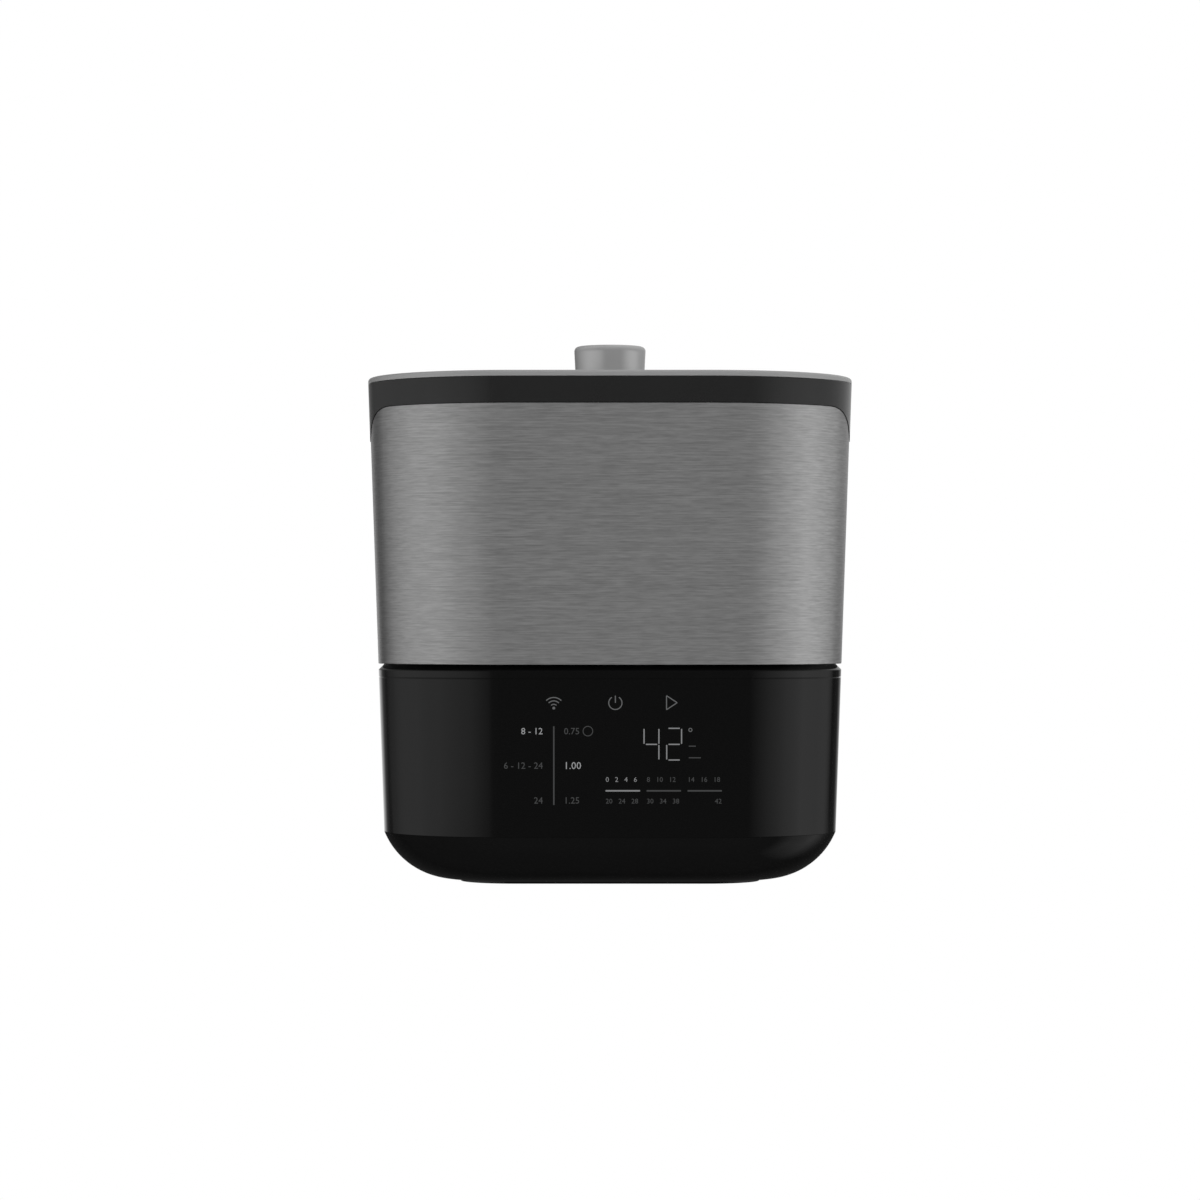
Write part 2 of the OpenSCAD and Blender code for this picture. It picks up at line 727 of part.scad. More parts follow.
// Helical spring between two heights, as rings of points that follow the helix
module coil_spring(low, high, d, wire_d, turns) {
    sides = 8;
    steps = 16 * turns;
    rise = (high - low - wire_d) / steps;
    points = [for (i = [0:steps], k = [0:sides - 1])
        let (turn = 360 * turns * i / steps, r = d / 2 + wire_d / 2 * cos(360 * k / sides))
        [r * cos(turn), r * sin(turn), low + wire_d / 2 * (1 + sin(360 * k / sides)) + rise * i]];
    walls = [for (i = [0:steps - 1], k = [0:sides - 1]) let (next = (k + 1) % sides)
        [i * sides + k, i * sides + next, (i + 1) * sides + next, (i + 1) * sides + k]];
    polyhedron(points, concat([[for (k = [sides - 1:-1:0]) k]], walls,
        [[for (k = [0:sides - 1]) steps * sides + k]]), convexity = 10);
}

module sensor_spring() color(steel)
    coil_spring(carrier_z + carrier_t, heater_top_z - sensor_h, spring_d, spring_wire_d, spring_turns);

// ---- Chassis ----

module chassis() color(black) difference() {
    union() {
        plate(plate_x, plate_z, seam_z);
        in_corners(column_x, column_y) post(column_d, floor_z, plate_z + 1);
    }
    post(2 * heater_hole_r, plate_z - 1, seam_z + 1);
    in_corners(column_x, column_y) post(pilot_d, floor_z - 1, floor_z + screw_l);
    in_corners(post_c, post_c) post(slip_d, plate_z - 1, seam_z + 1);
    around(3, carrier_screw_pcd / 2, 30) post(pilot_d, plate_z - 1, seam_z - 0.5);
}

module collar_screws() color(steel) in_corners(post_c, post_c)
    translate([0, 0, plate_z]) screw(screw_l, pilot_d);

// ---- Base ----

module base_top_ring() color(gloss_black) {
    low_x = wall_x(part_z);
    top_x = wall_x(seam_z - seam_bevel);
    ledge_x = plate_x - 4;
    sweep() polygon([[ledge_x, part_z], [low_x - groove_d, part_z], [low_x - groove_d, part_z + groove_h],
        [wall_x(part_z + groove_h), part_z + groove_h], [top_x, seam_z - seam_bevel],
        [top_x - seam_bevel, seam_z], [plate_x + fit, seam_z], [plate_x + fit, plate_z],
        [ledge_x, plate_z]]);
}

// Moves a thing to the inside of the front wall, y inwards and z along the wall
module on_front(up = 0)
    translate([0, -corner_c - wall_x(display_z) + base_wall, display_z]) rotate([draft, 0, 0])
        translate([0, 0, up]) children();

// Moves a thing to the outside of the back wall, y outwards and z along the wall
module on_back(z)
    translate([0, corner_c + wall_x(z), z]) rotate([-draft, 0, 0]) children();

module base_housing() color(gloss_black) difference() {
    sweep() wall_section(crease_z, part_z, base_wall);
    on_back(inlet_z)
        box3([-inlet_w / 2 - fit, -base_wall - 2, -inlet_h / 2 - fit],
            [inlet_w / 2 + fit, 2, inlet_h / 2 + fit]);
    for (i = [0:slot_count - 1]) on_back(part_z - 10 - i * slot_pitch)
        box3([-slot_w / 2, -base_wall - 2, -slot_h / 2], [slot_w / 2, 2, slot_h / 2]);
}

module panel_tape() color(rubber) on_front() {
    half = corner_c - 1;
    difference() {
        box3([-half, 0, -guide_h / 2], [half, tape_t, guide_h / 2]);
        box3([-half + 4, -1, -guide_h / 2 + 3], [half - 4, tape_t + 1, guide_h / 2 - 3]);
    }
}

// Places of the three touch keys along the panel
module at_keys()
    for (i = [-1:1]) translate([keys_x + i * keys_pitch, 0, keys_up]) rotate([-90, 0, 0]) children();

module light_guide() color(black) on_front() difference() {
    box3([-guide_w / 2, tape_t, -guide_h / 2], [guide_w / 2, tape_t + guide_t, guide_h / 2]);
    translate([digits_x, 0, digits_up])
        box3([-digits_w / 2 - 2 - fit, 0, -digit_h / 2 - 2 - fit],
            [digits_w / 2 + 2 + fit, tape_t + guide_t + 1, digit_h / 2 + 2 + fit]);
    at_keys() cylinder(d = key_pad_d + 2 * fit, h = tape_t + guide_t + 1);
    for (row = [-1:1], column = [0, 1])
        translate([labels_x + column * labels_gap, 0, row * label_pitch - labels_down])
            box3([-label_w / 2, 0, -label_h / 2], [label_w / 2, tape_t + guide_t + 1, label_h / 2]);
    for (step = [0:2]) translate([status_x + step * status_pitch, 0, status_up - guide_h / 2])
        box3([-status_w / 2, 0, -status_h / 2], [status_w / 2, tape_t + guide_t + 1, status_h / 2]);
}

module digit_block() color(white) on_front() translate([digits_x, 0, digits_up])
    box3([-digits_w / 2 - 2, tape_t + 0.2, -digit_h / 2 - 2],
        [digits_w / 2 + 2, tape_t + guide_t, digit_h / 2 + 2]);

module touch_pads() color(rubber) on_front() at_keys()
    cylinder(d = key_pad_d, h = tape_t + guide_t);

module display_board() color(board_green) on_front()
    box3([-guide_w / 2 + 1, tape_t + guide_t, -guide_h / 2 + 1],
        [guide_w / 2 - 1, tape_t + guide_t + board_t, guide_h / 2 - 1]);

// Moves a thing to the back of the display board
module behind_display(x, up)
    on_front(up) translate([x, tape_t + guide_t + board_t, 0]) children();

module radio_module() color(steel) behind_display(-30, 12) {
    box3([-9, 0, -13], [9, 0.8, 13]);
    box3([-8, 0.8, -12], [8, 3, 6]);
}

module buzzer() color(black) behind_display(40, -16) rotate([-90, 0, 0]) difference() {
    cylinder(d = 12, h = 7);
    translate([0, 0, 6]) cylinder(d = 2, h = 2);
}

// Flat cable from the display board down to the power board
cable_w = 12;
cable_t = 0.8;
cable_x = -board_w / 2 + board_screw_inset + screw_head_d / 2 + 1 + cable_w / 2 + 1;
cable_front_y = -corner_c - wall_x(display_z) + base_wall + tape_t + guide_t + board_t + 4;

module display_cable() color(white) {
    box3([cable_x - cable_w / 2, cable_front_y, cable_z],
        [cable_x + cable_w / 2, cable_front_y + cable_t, display_z - guide_h / 2 + 2]);
    box3([cable_x - cable_w / 2, cable_front_y, cable_z],
        [cable_x + cable_w / 2, board_y + 6, cable_z + cable_t]);
}

module cable_connectors() color(white) {
    plug_x = cable_w / 2 + 1;
    box3([cable_x - plug_x, cable_front_y - 2.2, display_z - guide_h / 2 + 2],
        [cable_x + plug_x, cable_front_y + 2, display_z - guide_h / 2 + 8]);
    box3([cable_x - plug_x, board_y + 1, board_top_z], [cable_x + plug_x, board_y + 7, cable_z]);
}

// ---- Cooling fan ----

module fan_frame() color(black) difference() {
    union() {
        for (low = [fan_z, fan_top_z - fan_flange_t])
            box3([-fan_w / 2, -fan_w / 2, low], [fan_w / 2, fan_w / 2, low + fan_flange_t]);
        post(2 * (fan_bore_r + fan_tube_wall), fan_z, fan_top_z);
    }
    difference() {
        post(2 * fan_bore_r, fan_z - 1, fan_top_z + 1);
        post(hub_d - 2 * hub_wall - 3, fan_z - 2, fan_z + 1.5);
        for (arm = [0:3]) rotate(45 + 90 * arm) box3([0, -1.5, fan_z - 2], [fan_w, 1.5, fan_z + 1.5]);
    }
    in_corners(fan_screw_spacing / 2, fan_screw_spacing / 2) post(slip_d, fan_z - 1, fan_top_z + 1);
}

module fan_bearing() color(brass)
    ring(3.2, shaft_d / 2 + shaft_play, fan_z + 1.5, fan_top_z - 4.5);

module fan_stator() color("#8a4a2a") difference() {
    post(hub_d - 2 * hub_wall - 4, fan_z + 1.5, fan_top_z - 6);
    post(6.4, fan_z, fan_top_z);
    around(4, (hub_d - 2 * hub_wall - 4) / 2, 45) post(5, fan_z + 3, fan_top_z);
}

// Cambered blade, as an arc that runs out from the hub
module blade() {
    start = hub_d / 2 - 1;
    rotate([90, 0, 90]) translate([0, 0, start]) linear_extrude(fan_bore_r - start)
        rotate(blade_pitch) translate([0, -blade_camber_r]) intersection() {
            difference() {
                circle(blade_camber_r);
                circle(blade_camber_r - blade_t);
            }
            box2([-blade_chord / 2, 0], [blade_chord / 2, blade_camber_r + 1]);
        }
}

module fan_impeller() color(black) {
    low = fan_z + 2.6;
    high = fan_top_z - 1;
    boss_low = fan_top_z - 4.2;
    rotate_extrude() {
        box2([hub_d / 2 - hub_wall, low], [hub_d / 2, high]);
        box2([shaft_d / 2, high - hub_wall], [hub_d / 2, high]);
        box2([shaft_d / 2, boss_low], [shaft_d / 2 + 2.4, high]);
    }
    intersection() {
        ring(fan_bore_r - blade_gap, hub_d / 2 - hub_wall / 2, low, high);
        translate([0, 0, (low + high) / 2 + 1]) for (i = [0:blade_count - 1])
            rotate(i * 360 / blade_count) blade();
    }
}

module fan_shaft() color(steel) post(shaft_d, fan_z + 1.8, fan_top_z - 1);

module fan_screws() color(steel) in_corners(fan_screw_spacing / 2, fan_screw_spacing / 2)
    translate([0, 0, fan_top_z]) mirror([0, 0, 1]) screw(fan_t + fan_post_h - 0.5, pilot_d);

// ---- Power board ----

board_mid_y = board_y + board_d / 2;

// Places of the board's four screws
module at_board_screws()
    translate([0, board_mid_y, 0])
        in_corners(board_w / 2 - board_screw_inset, board_d / 2 - board_screw_inset) children();

module power_board() color(board_green) difference() {
    box3([-board_w / 2, board_y, board_z], [board_w / 2, board_y + board_d, board_top_z]);
    at_board_screws() post(slip_d, board_z - 1, board_top_z + 1);
}

module board_screws() color(steel) at_board_screws()
    translate([0, 0, board_top_z]) mirror([0, 0, 1]) screw(10, pilot_d);

module transformer() color("#d8c25a") translate([-30, board_mid_y + 4, board_top_z]) {
    box3([-10, -9, 0], [10, 9, 3]);
    box3([-8, -6, 3], [8, 6, 15]);
    box3([-10, -9, 15], [10, 9, 18]);
}

module capacitor() color("#22324a") translate([0, board_mid_y - 2, 0]) difference() {
    post(16, board_top_z, board_top_z + 25);
    post(13, board_top_z + 24.5, board_top_z + 26);
}

module relay() color("#2b5fa8") translate([30, board_mid_y + 4, board_top_z])
    box3([-9.5, -7.5, 0], [9.5, 7.5, 15.5]);

module terminal_block() color("#3b8f4a") difference() {
    box3([-18, board_y + 1, board_top_z], [18, board_y + 11, board_top_z + terminal_h]);
    for (x = [-terminal_x, 0, terminal_x]) translate([x, board_y + 8.5, 0])
        post(3.2, board_top_z + terminal_h - 3, board_top_z + terminal_h + 1);
}

module heater_leads() color("#b23a2e") for (side = [-1, 1])
    translate([side * terminal_x, terminal_y, 0])
        post(3.2, board_top_z + terminal_h, heater_low_z - element_d - element_pin_l);

// ---- Power inlet ----

// Outline of the inlet's cavity, with its two clipped corners
module inlet_outline(shrink) {
    x = inlet_w / 2 - shrink;
    z = inlet_h / 2 - shrink;
    clip = 4.5;
    polygon([[-x, -z], [x, -z], [x, z - clip], [x - clip, z], [-x + clip, z], [-x, z - clip]]);
}

module power_inlet() color(black) on_back(inlet_z) difference() {
    union() {
        box3([-inlet_w / 2 - inlet_flange_w, 0, -inlet_h / 2 - inlet_flange_w],
            [inlet_w / 2 + inlet_flange_w, inlet_flange_t, inlet_h / 2 + inlet_flange_w]);
        rotate([90, 0, 0]) linear_extrude(inlet_depth) inlet_outline(0);
    }
    translate([0, inlet_flange_t + 1, 0]) rotate([90, 0, 0])
        linear_extrude(inlet_depth + inlet_flange_t - 3) inlet_outline(inlet_wall);
    at_pins() box3([-pin_t / 2, -inlet_depth - 1, -pin_h / 2], [pin_t / 2, 0, pin_h / 2]);
}

// Places of the three pins in the inlet
module at_pins() {
    for (side = [-1, 1]) translate([side * pin_spacing / 2, 0, -pin_rise / 2]) children();
    translate([0, 0, pin_rise / 2]) children();
}

module inlet_pins() color(brass) on_back(inlet_z) at_pins()
    box3([-pin_t / 2, -inlet_depth - 5, -pin_h / 2], [pin_t / 2, -4, pin_h / 2]);

// Three wires from the inlet's tabs over the board's edge and down to it
module mains_leads() color("#6b3f2a") {
    bend = 4;
    end_y = corner_c + wall_x(inlet_z) - (inlet_depth + 5) * cos(draft) - bend - 3.2;
    for (pin = [[-pin_spacing / 2, -pin_rise / 2], [0, pin_rise / 2], [pin_spacing / 2, -pin_rise / 2]]) {
        start_y = corner_c + wall_x(inlet_z) - (inlet_depth + 5) * cos(draft) - 0.1;
        z = inlet_z + pin.y + (inlet_depth + 5) * sin(draft);
        translate([pin.x, end_y + bend, z]) rotate([-90, 0, 0])
            cylinder(d = 2.6, h = start_y - end_y - bend);
        translate([pin.x, end_y + bend, z - bend]) rotate([0, -90, 0])
            rotate_extrude(angle = -90) translate([bend, 0]) circle(d = 2.6);
        translate([pin.x, end_y, 0]) post(2.6, board_top_z, z - bend);
    }
}

// ---- Tray and feet ----

// Section of the rounded tray, drawn in by a wall thickness
module bowl_section(inset) {
    box2([0, tray_z + inset], [bowl_x, crease_z]);
    intersection() {
        translate([bowl_x, tray_z + bowl_r]) circle(bowl_r - inset);
        box2([bowl_x, tray_z], [bowl_x + bowl_r, crease_z]);
    }
}

module bottom_tray() color(gloss_black) difference() {
    lip_x = wall_x(crease_z) - base_wall - fit;
    union() {
        sweep() {
            difference() {
                bowl_section(0);
                bowl_section(tray_wall);
            }
            box2([lip_x - 1.8, crease_z - 3], [lip_x, crease_z + tray_lip_h]);
        }
        core(tray_z, floor_z);
        in_corners(fan_screw_spacing / 2, fan_screw_spacing / 2) post(7, tray_z + 1, fan_z);
        at_board_screws() post(7, tray_z + 1, board_z);
    }
    in_corners(foot_c, foot_c) {
        post(foot_d + 2 * fit, tray_z - 1, tray_z + foot_pocket);
        post(foot_peg_d + 2 * fit, tray_z, floor_z + 1);
    }
    in_corners(column_x, column_y) {
        post(slip_d, tray_z - 1, floor_z + 1);
        post(screw_head_d + 1, tray_z - 1, tray_z + screw_head_h);
    }
    in_corners(fan_screw_spacing / 2, fan_screw_spacing / 2) post(pilot_d, tray_z + 1.5, fan_z + 1);
    at_board_screws() post(pilot_d, board_z - 11, board_z + 1);
    for (i = [-4:4]) box3([-slot_w / 2 + abs(i) * 3, i * slot_pitch - slot_h / 2, tray_z - 1],
        [slot_w / 2 - abs(i) * 3, i * slot_pitch + slot_h / 2, floor_z + 1]);
}

module tray_screws() color(steel) in_corners(column_x, column_y)
    translate([0, 0, tray_z + screw_head_h]) screw(screw_l, pilot_d);

// Rubber foot with a peg that snaps through the tray
module foot() color(rubber) {
    post(foot_d - 1, 0, 0.5);
    post(foot_d, 0.5, tray_z + foot_pocket);
    post(foot_peg_d, tray_z + foot_pocket - 0.5, floor_z);
    translate([0, 0, floor_z]) cylinder(d1 = foot_peg_d + 1.6, d2 = foot_peg_d - 1, h = 2);
}

module foot_front_left() translate([-foot_c, -foot_c, 0]) foot();
module foot_front_right() translate([foot_c, -foot_c, 0]) foot();
module foot_rear_left() translate([-foot_c, foot_c, 0]) foot();
module foot_rear_right() translate([foot_c, foot_c, 0]) foot();

lid_plate();
lid_knob();
knob_screws();
lid_liner();
lid_insulation();
lid_gasket();
probe_socket();
lid_leads();
lid_contacts();
probe_jack();
probe_head();
probe_rod();
inner_pot();
upper_collar();
collar_contacts();
steel_shell();
inner_well();
well_insulation();
heater_plate();
heater_element();
heater_carrier();
heater_screws();
thermal_fuse();
pot_sensor();
sensor_spring();
chassis();
collar_screws();
base_top_ring();
base_housing();
panel_tape();
light_guide();
digit_block();
touch_pads();
display_board();
radio_module();
buzzer();
display_cable();
cable_connectors();
fan_frame();
fan_bearing();
fan_stator();
fan_impeller();
fan_shaft();
fan_screws();
power_board();
transformer();
capacitor();
relay();
terminal_block();
heater_leads();
board_screws();
power_inlet();
inlet_pins();
mains_leads();
bottom_tray();
tray_screws();
foot_front_left();
foot_front_right();
foot_rear_left();
foot_rear_right();
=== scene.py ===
"""Countertop yogurt maker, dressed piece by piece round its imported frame. Lengths are in metres."""

import json
import math
import bpy
from mathutils import Matrix, Vector


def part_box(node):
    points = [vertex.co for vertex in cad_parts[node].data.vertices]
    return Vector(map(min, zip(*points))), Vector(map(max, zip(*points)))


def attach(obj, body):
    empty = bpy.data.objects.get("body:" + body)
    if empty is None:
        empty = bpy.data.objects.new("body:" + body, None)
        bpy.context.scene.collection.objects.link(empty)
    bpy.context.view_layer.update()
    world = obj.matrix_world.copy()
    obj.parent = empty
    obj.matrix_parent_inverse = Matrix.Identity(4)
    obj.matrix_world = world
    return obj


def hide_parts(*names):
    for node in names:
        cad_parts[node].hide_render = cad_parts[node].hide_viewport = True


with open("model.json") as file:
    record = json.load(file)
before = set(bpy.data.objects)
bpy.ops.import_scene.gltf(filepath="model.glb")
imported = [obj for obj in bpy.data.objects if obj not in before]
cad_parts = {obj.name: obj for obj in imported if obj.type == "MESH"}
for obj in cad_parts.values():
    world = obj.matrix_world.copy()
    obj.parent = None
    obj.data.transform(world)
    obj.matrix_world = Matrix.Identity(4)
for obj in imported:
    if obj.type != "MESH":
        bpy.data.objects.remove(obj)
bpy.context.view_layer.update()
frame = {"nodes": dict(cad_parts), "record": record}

# ---- Sizes ----

mm = 0.001
full_turn = 2 * math.pi

# Body
corner_c = 49 * mm          # from the middle to each corner's centre of curvature, along X and Y
draft = math.radians(2)     # lean of the side walls
corner_steps = 40           # steps round one corner of the body

# Lid and knob
skin_t = 1.6 * mm           # thickness of the lid plate's skin
lid_fillet = 1.7 * mm
lid_edge = 0.25 * mm        # rounding of the lid plate's lower edge
socket_hole_d = 14.4 * mm   # hole in the lid plate, round the probe's socket
knob_r = 19 * mm            # radius of the knob's top, before its edge is rounded
knob_taper = math.radians(2.9)
knob_fillet = 2.5 * mm
knob_edge = 0.4 * mm        # rounding of the knob's lower edge
knob_middle_r = 7.3 * mm    # the middle of the knob's foot, closed by one face

# Collar
band_proud = 0.3 * mm       # how far the collar stands proud of the shell
collar_wall = 3 * mm
wall_lean = 0.3 * mm        # how far the wall's inside leans out up to the deck
collar_edge = 0.35 * mm     # rounding of the collar's top edges
deck_drop = 8 * mm
deck_t = 3 * mm
deck_fillet = 0.8 * mm      # rounding where the deck meets the wall
well_d = 200 * mm
ear_drop = 16.4 * mm
ear_c = 92 * mm             # from the middle to the centres of the ears' two sides, along Y
ear_r = 47.6 * mm           # radius of those sides
ear_corner = 14 * mm        # rounding of the ears' lower corners
collar_gap = 0.35 * mm      # open line between the collar and the shell
skirt_t = 1.6 * mm          # the collar's skirt behind the shell
skirt_h = 7 * mm
skirt_gap = 0.15 * mm       # play between the skirt and the shell

# Shell
shell_t = 0.8 * mm
shell_edge = 0.2 * mm       # rounding of the shell's upper edge
hem_w = 5.2 * mm
hem_fillet = 0.35 * mm      # rounding where the wall turns into the hem

# Base
base_wall = 2.3 * mm
base_edge = 0.2 * mm        # rounding at the crease
part_edge = 0.15 * mm       # rounding on both sides of the parting line
groove_h = 0.35 * mm
groove_d = 0.8 * mm
seam_bevel = 3.1 * mm
bevel_edge = 0.4 * mm       # rounding of the bevel's two edges
lip_reach = 1.1 * mm        # how far the ring's upper lip reaches in past the hem
lip_t = 3 * mm              # thickness of that lip
ring_reach = 5.3 * mm       # how far the rest of the ring reaches in past the hem
slot_w = 60 * mm            # slots in the back and under the fan
slot_h = 2.6 * mm
slot_pitch = 6 * mm
back_slots = 5
back_slot_drop = 10 * mm    # from the parting line down to the highest slot in the back
inlet_hole = (27.4 * mm, 20.2 * mm)
back_cut = (-5 * mm, 3 * mm)        # a cutter's reach through the back wall, inwards and outwards

# Tray
tray_wall = 2.5 * mm
bowl_r = 38.7 * mm
bowl_fade = 4               # how many degrees below the crease the inside of the bowl ends
plinth_x = 28 * mm          # the tray's low plinth, from the corners' centre lines
plinth_z = 0.15 * mm
tray_lip_t = 1.8 * mm
tray_lip_gap = 0.2 * mm     # play between the tray's lip and the base's wall
fan_slots = 9
slot_step = 3 * mm          # what a slot under the fan loses at each end per place from the middle
foot_c = 58 * mm            # from the middle to each foot, along X and Y
foot_pocket_d = 18.4 * mm
foot_pocket = 1 * mm
screw_x = 70 * mm
screw_y = 62 * mm
screw_head_d = 6.6 * mm
screw_head_h = 1.2 * mm
screw_hole_d = 3.4 * mm
slot_cut = (-1 * mm, 6 * mm)        # lowest and highest point of a cutter through the tray's floor
hole_cut = (-2 * mm, 7 * mm)        # and of one for a screw's hole

# Pot
pot_r = 96 * mm
pot_wall = 1 * mm
pot_corner = 16 * mm
roll_r = 1.5 * mm           # radius of the pot's rolled edge
roll_start = 1.2 * mm       # where the rim's underside ends, in from the middle of that edge
mouth_fillet = 0.8 * mm     # rounding where the rim turns down into the pot

tray_low, tray_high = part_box("bottom_tray")
house_low, house_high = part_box("base_housing")
shell_low, shell_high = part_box("steel_shell")
collar_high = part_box("upper_collar")[1]
lid_low, lid_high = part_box("lid_plate")
knob_low, knob_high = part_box("lid_knob")
pot_low, pot_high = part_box("inner_pot")
inlet_low, inlet_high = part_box("power_inlet")

crease_z = house_low.z
part_z = house_high.z
seam_z = shell_low.z
shell_top_z = shell_high.z
ear_z = shell_top_z - ear_drop
collar_top_z = collar_high.z
deck_z = collar_top_z - deck_drop


def side(z):
    """Distance of the drafted wall from the corners' centre lines at height z."""
    return house_high.x - corner_c + (z - part_z) * math.tan(draft)


def band_side(z):
    """The same for the outside of the collar, which stands proud of the wall."""
    return side(z) + band_proud


# ---- Modelling by hand ----

arc_step = math.radians(9)  # longest step along a small rounding
guard_share = 0.4           # a guard point's distance from a rounding, as a share of its radius
same_point = 1e-7           # points closer than this are one, along a section or a mark
same_seam = 2e-6            # and where a swept section meets itself
past = 5 * mm               # how far a cutter runs past what it cuts
far = 400 * mm              # length of a cutter that runs right across the body
smooth_angle = math.radians(32)     # edges sharper than this stay sharp


def select_only(piece):
    bpy.ops.object.select_all(action="DESELECT")
    piece.select_set(True)
    bpy.context.view_layer.objects.active = piece


def start_piece(name):
    """A new piece that holds one vertex at the origin, open for editing."""
    bpy.ops.object.select_all(action="DESELECT")
    bpy.ops.mesh.primitive_plane_add(size=mm)
    piece = bpy.context.active_object
    piece.name = piece.data.name = name
    bpy.ops.object.mode_set(mode="EDIT")
    bpy.ops.mesh.select_mode(type="VERT")
    bpy.ops.mesh.select_all(action="SELECT")
    bpy.ops.mesh.merge(type="CENTER")
    return piece


def step_to(here, there):
    """Draws a straight line on from the last point."""
    move = there - here
    if move.length > same_point:
        bpy.ops.mesh.extrude_vertices_move(TRANSFORM_OT_translate={"value": (move.x, 0, move.y)})
    return there


def round_to(here, back, corner, onward, r):
    """Draws on to a rounded corner and round it, with a guard point on each flat beside it."""
    before = (corner - back).normalized()
    after = (onward - corner).normalized()
    turn_by = math.atan2(before.cross(after), before.dot(after))
    reach = r * math.tan(abs(turn_by) / 2)
    arc_start = corner - before * reach
    guard = min(guard_share * r, (arc_start - here).length / 2)
    here = step_to(here, arc_start - before * guard)
    step_to(here, arc_start)
    middle = arc_start + Vector((-before.y, before.x)) * math.copysign(r, turn_by)
    bpy.ops.mesh.spin(steps=max(2, math.ceil(abs(turn_by) / arc_step)), angle=turn_by,
                      center=(middle.x, 0, middle.y), axis=(0, 1, 0))
    here = corner + after * reach
    return step_to(here, here + after * min(guard, (onward - here).length * guard_share))


def draw(path, closed=False):
    """Draws a section in the XZ plane. A point is (x, z) or (x, z, rounding of that corner)."""
    points = [Vector(p[:2]) for p in path]
    rounding = [p[2] if len(p) > 2 else 0 for p in path]
    bpy.ops.transform.translate(value=(points[0].x, 0, points[0].y))
    here = points[0]
    for i in range(1, len(points)):
        last = i == len(points) - 1
        onward = points[0] if last else points[i + 1]
        if rounding[i] and (closed or not last):
            here = round_to(here, points[i - 1], points[i], onward, rounding[i])
        else:
            here = step_to(here, points[i])
    if closed:
        step_to(here, points[0])
    bpy.ops.mesh.select_all(action="SELECT")
    bpy.ops.mesh.remove_doubles(threshold=same_point)


def arc_points(x, z, r, first, last, steps):
    """Points along an arc about (x, z), with its angles in degrees from the X axis."""
    angles = [math.radians(first + (last - first) * i / steps) for i in range(steps + 1)]
    return [(x + r * math.cos(a), z + r * math.sin(a)) for a in angles]


def tidy():
    """Joins what meets, fills what is open and turns every face outwards."""
    bpy.ops.mesh.select_all(action="SELECT")
    bpy.ops.mesh.remove_doubles(threshold=same_seam)
    bpy.ops.mesh.select_all(action="SELECT")
    bpy.ops.mesh.fill_holes(sides=0)
    bpy.ops.mesh.select_all(action="SELECT")
    bpy.ops.mesh.normals_make_consistent(inside=False)


def extrude_by(x, y, z):
    bpy.ops.mesh.extrude_region_move(TRANSFORM_OT_translate={"value": (x, y, z)})


def round_body():
    """Sweeps the drawn section along the four flats and round the four corners."""
    bpy.ops.transform.translate(value=(corner_c, -corner_c, 0))
    flat = 2 * corner_c
    for along, corner in (((0, flat), (1, 1)), ((-flat, 0), (-1, 1)),
                          ((0, -flat), (-1, -1)), ((flat, 0), (1, -1))):
        extrude_by(along[0], along[1], 0)
        bpy.ops.mesh.spin(steps=corner_steps, angle=-math.pi / 2, axis=(0, 0, 1),
                          center=(corner[0] * corner_c, corner[1] * corner_c, 0))
    tidy()
    bpy.ops.object.mode_set(mode="OBJECT")
    return bpy.context.active_object


def turn(steps=128):
    """Turns the drawn section once round the upright axis."""
    bpy.ops.mesh.spin(steps=steps, angle=full_turn, center=(0, 0, 0), axis=(0, 0, 1))
    tidy()
    bpy.ops.object.mode_set(mode="OBJECT")
    return bpy.context.active_object


def pull(depth):
    """Fills the drawn outline and pulls it along Y."""
    bpy.ops.mesh.edge_face_add()
    extrude_by(0, depth, 0)
    bpy.ops.mesh.select_all(action="SELECT")
    bpy.ops.mesh.normals_make_consistent(inside=False)
    bpy.ops.object.mode_set(mode="OBJECT")
    return bpy.context.active_object


def settle(piece):
    """Moves a piece's place, turn and scale into its mesh."""
    select_only(piece)
    bpy.ops.object.transform_apply(location=True, rotation=True, scale=True)
    return piece


def block(low, high):
    """A block between two corners, to cut with."""
    low, high = Vector(low), Vector(high)
    bpy.ops.object.select_all(action="DESELECT")
    bpy.ops.mesh.primitive_cube_add(size=1, location=(low + high) / 2)
    piece = bpy.context.active_object
    piece.scale = high - low
    return settle(piece)


def post(d, low, high, x=0, y=0, vertices=64):
    """An upright cylinder from one height to another, to cut with."""
    bpy.ops.object.select_all(action="DESELECT")
    bpy.ops.mesh.primitive_cylinder_add(vertices=vertices, radius=d / 2, depth=high - low,
                                        location=(x, y, (low + high) / 2))
    return settle(bpy.context.active_object)


def join(pieces):
    """Makes one piece out of several."""
    select_only(pieces[0])
    for piece in pieces[1:]:
        piece.select_set(True)
    bpy.ops.object.join()
    return pieces[0]


def carve(piece, tool, operation="DIFFERENCE"):
    """Cuts, joins or crosses a piece with a tool, which is used up."""
    cut = piece.modifiers.new("cut", "BOOLEAN")
    cut.operation, cut.object, cut.solver = operation, tool, "EXACT"
    select_only(piece)
    bpy.ops.object.modifier_apply(modifier=cut.name)
    bpy.data.objects.remove(tool)
    return piece


def leave(piece, body, slot, nodes=(), finish=None):
    """Finishes a piece: smooth shading, the finish of its slot, its body, and hides the CAD nodes that
    it takes the place of.
    """
    select_only(piece)
    bpy.ops.object.shade_smooth_by_angle(angle=smooth_angle)
    piece.data.materials.clear()
    piece.data.materials.append(finish or finishes[slot])
    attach(piece, body)
    for node in nodes:
        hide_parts(node)


# ---- Finishes ----

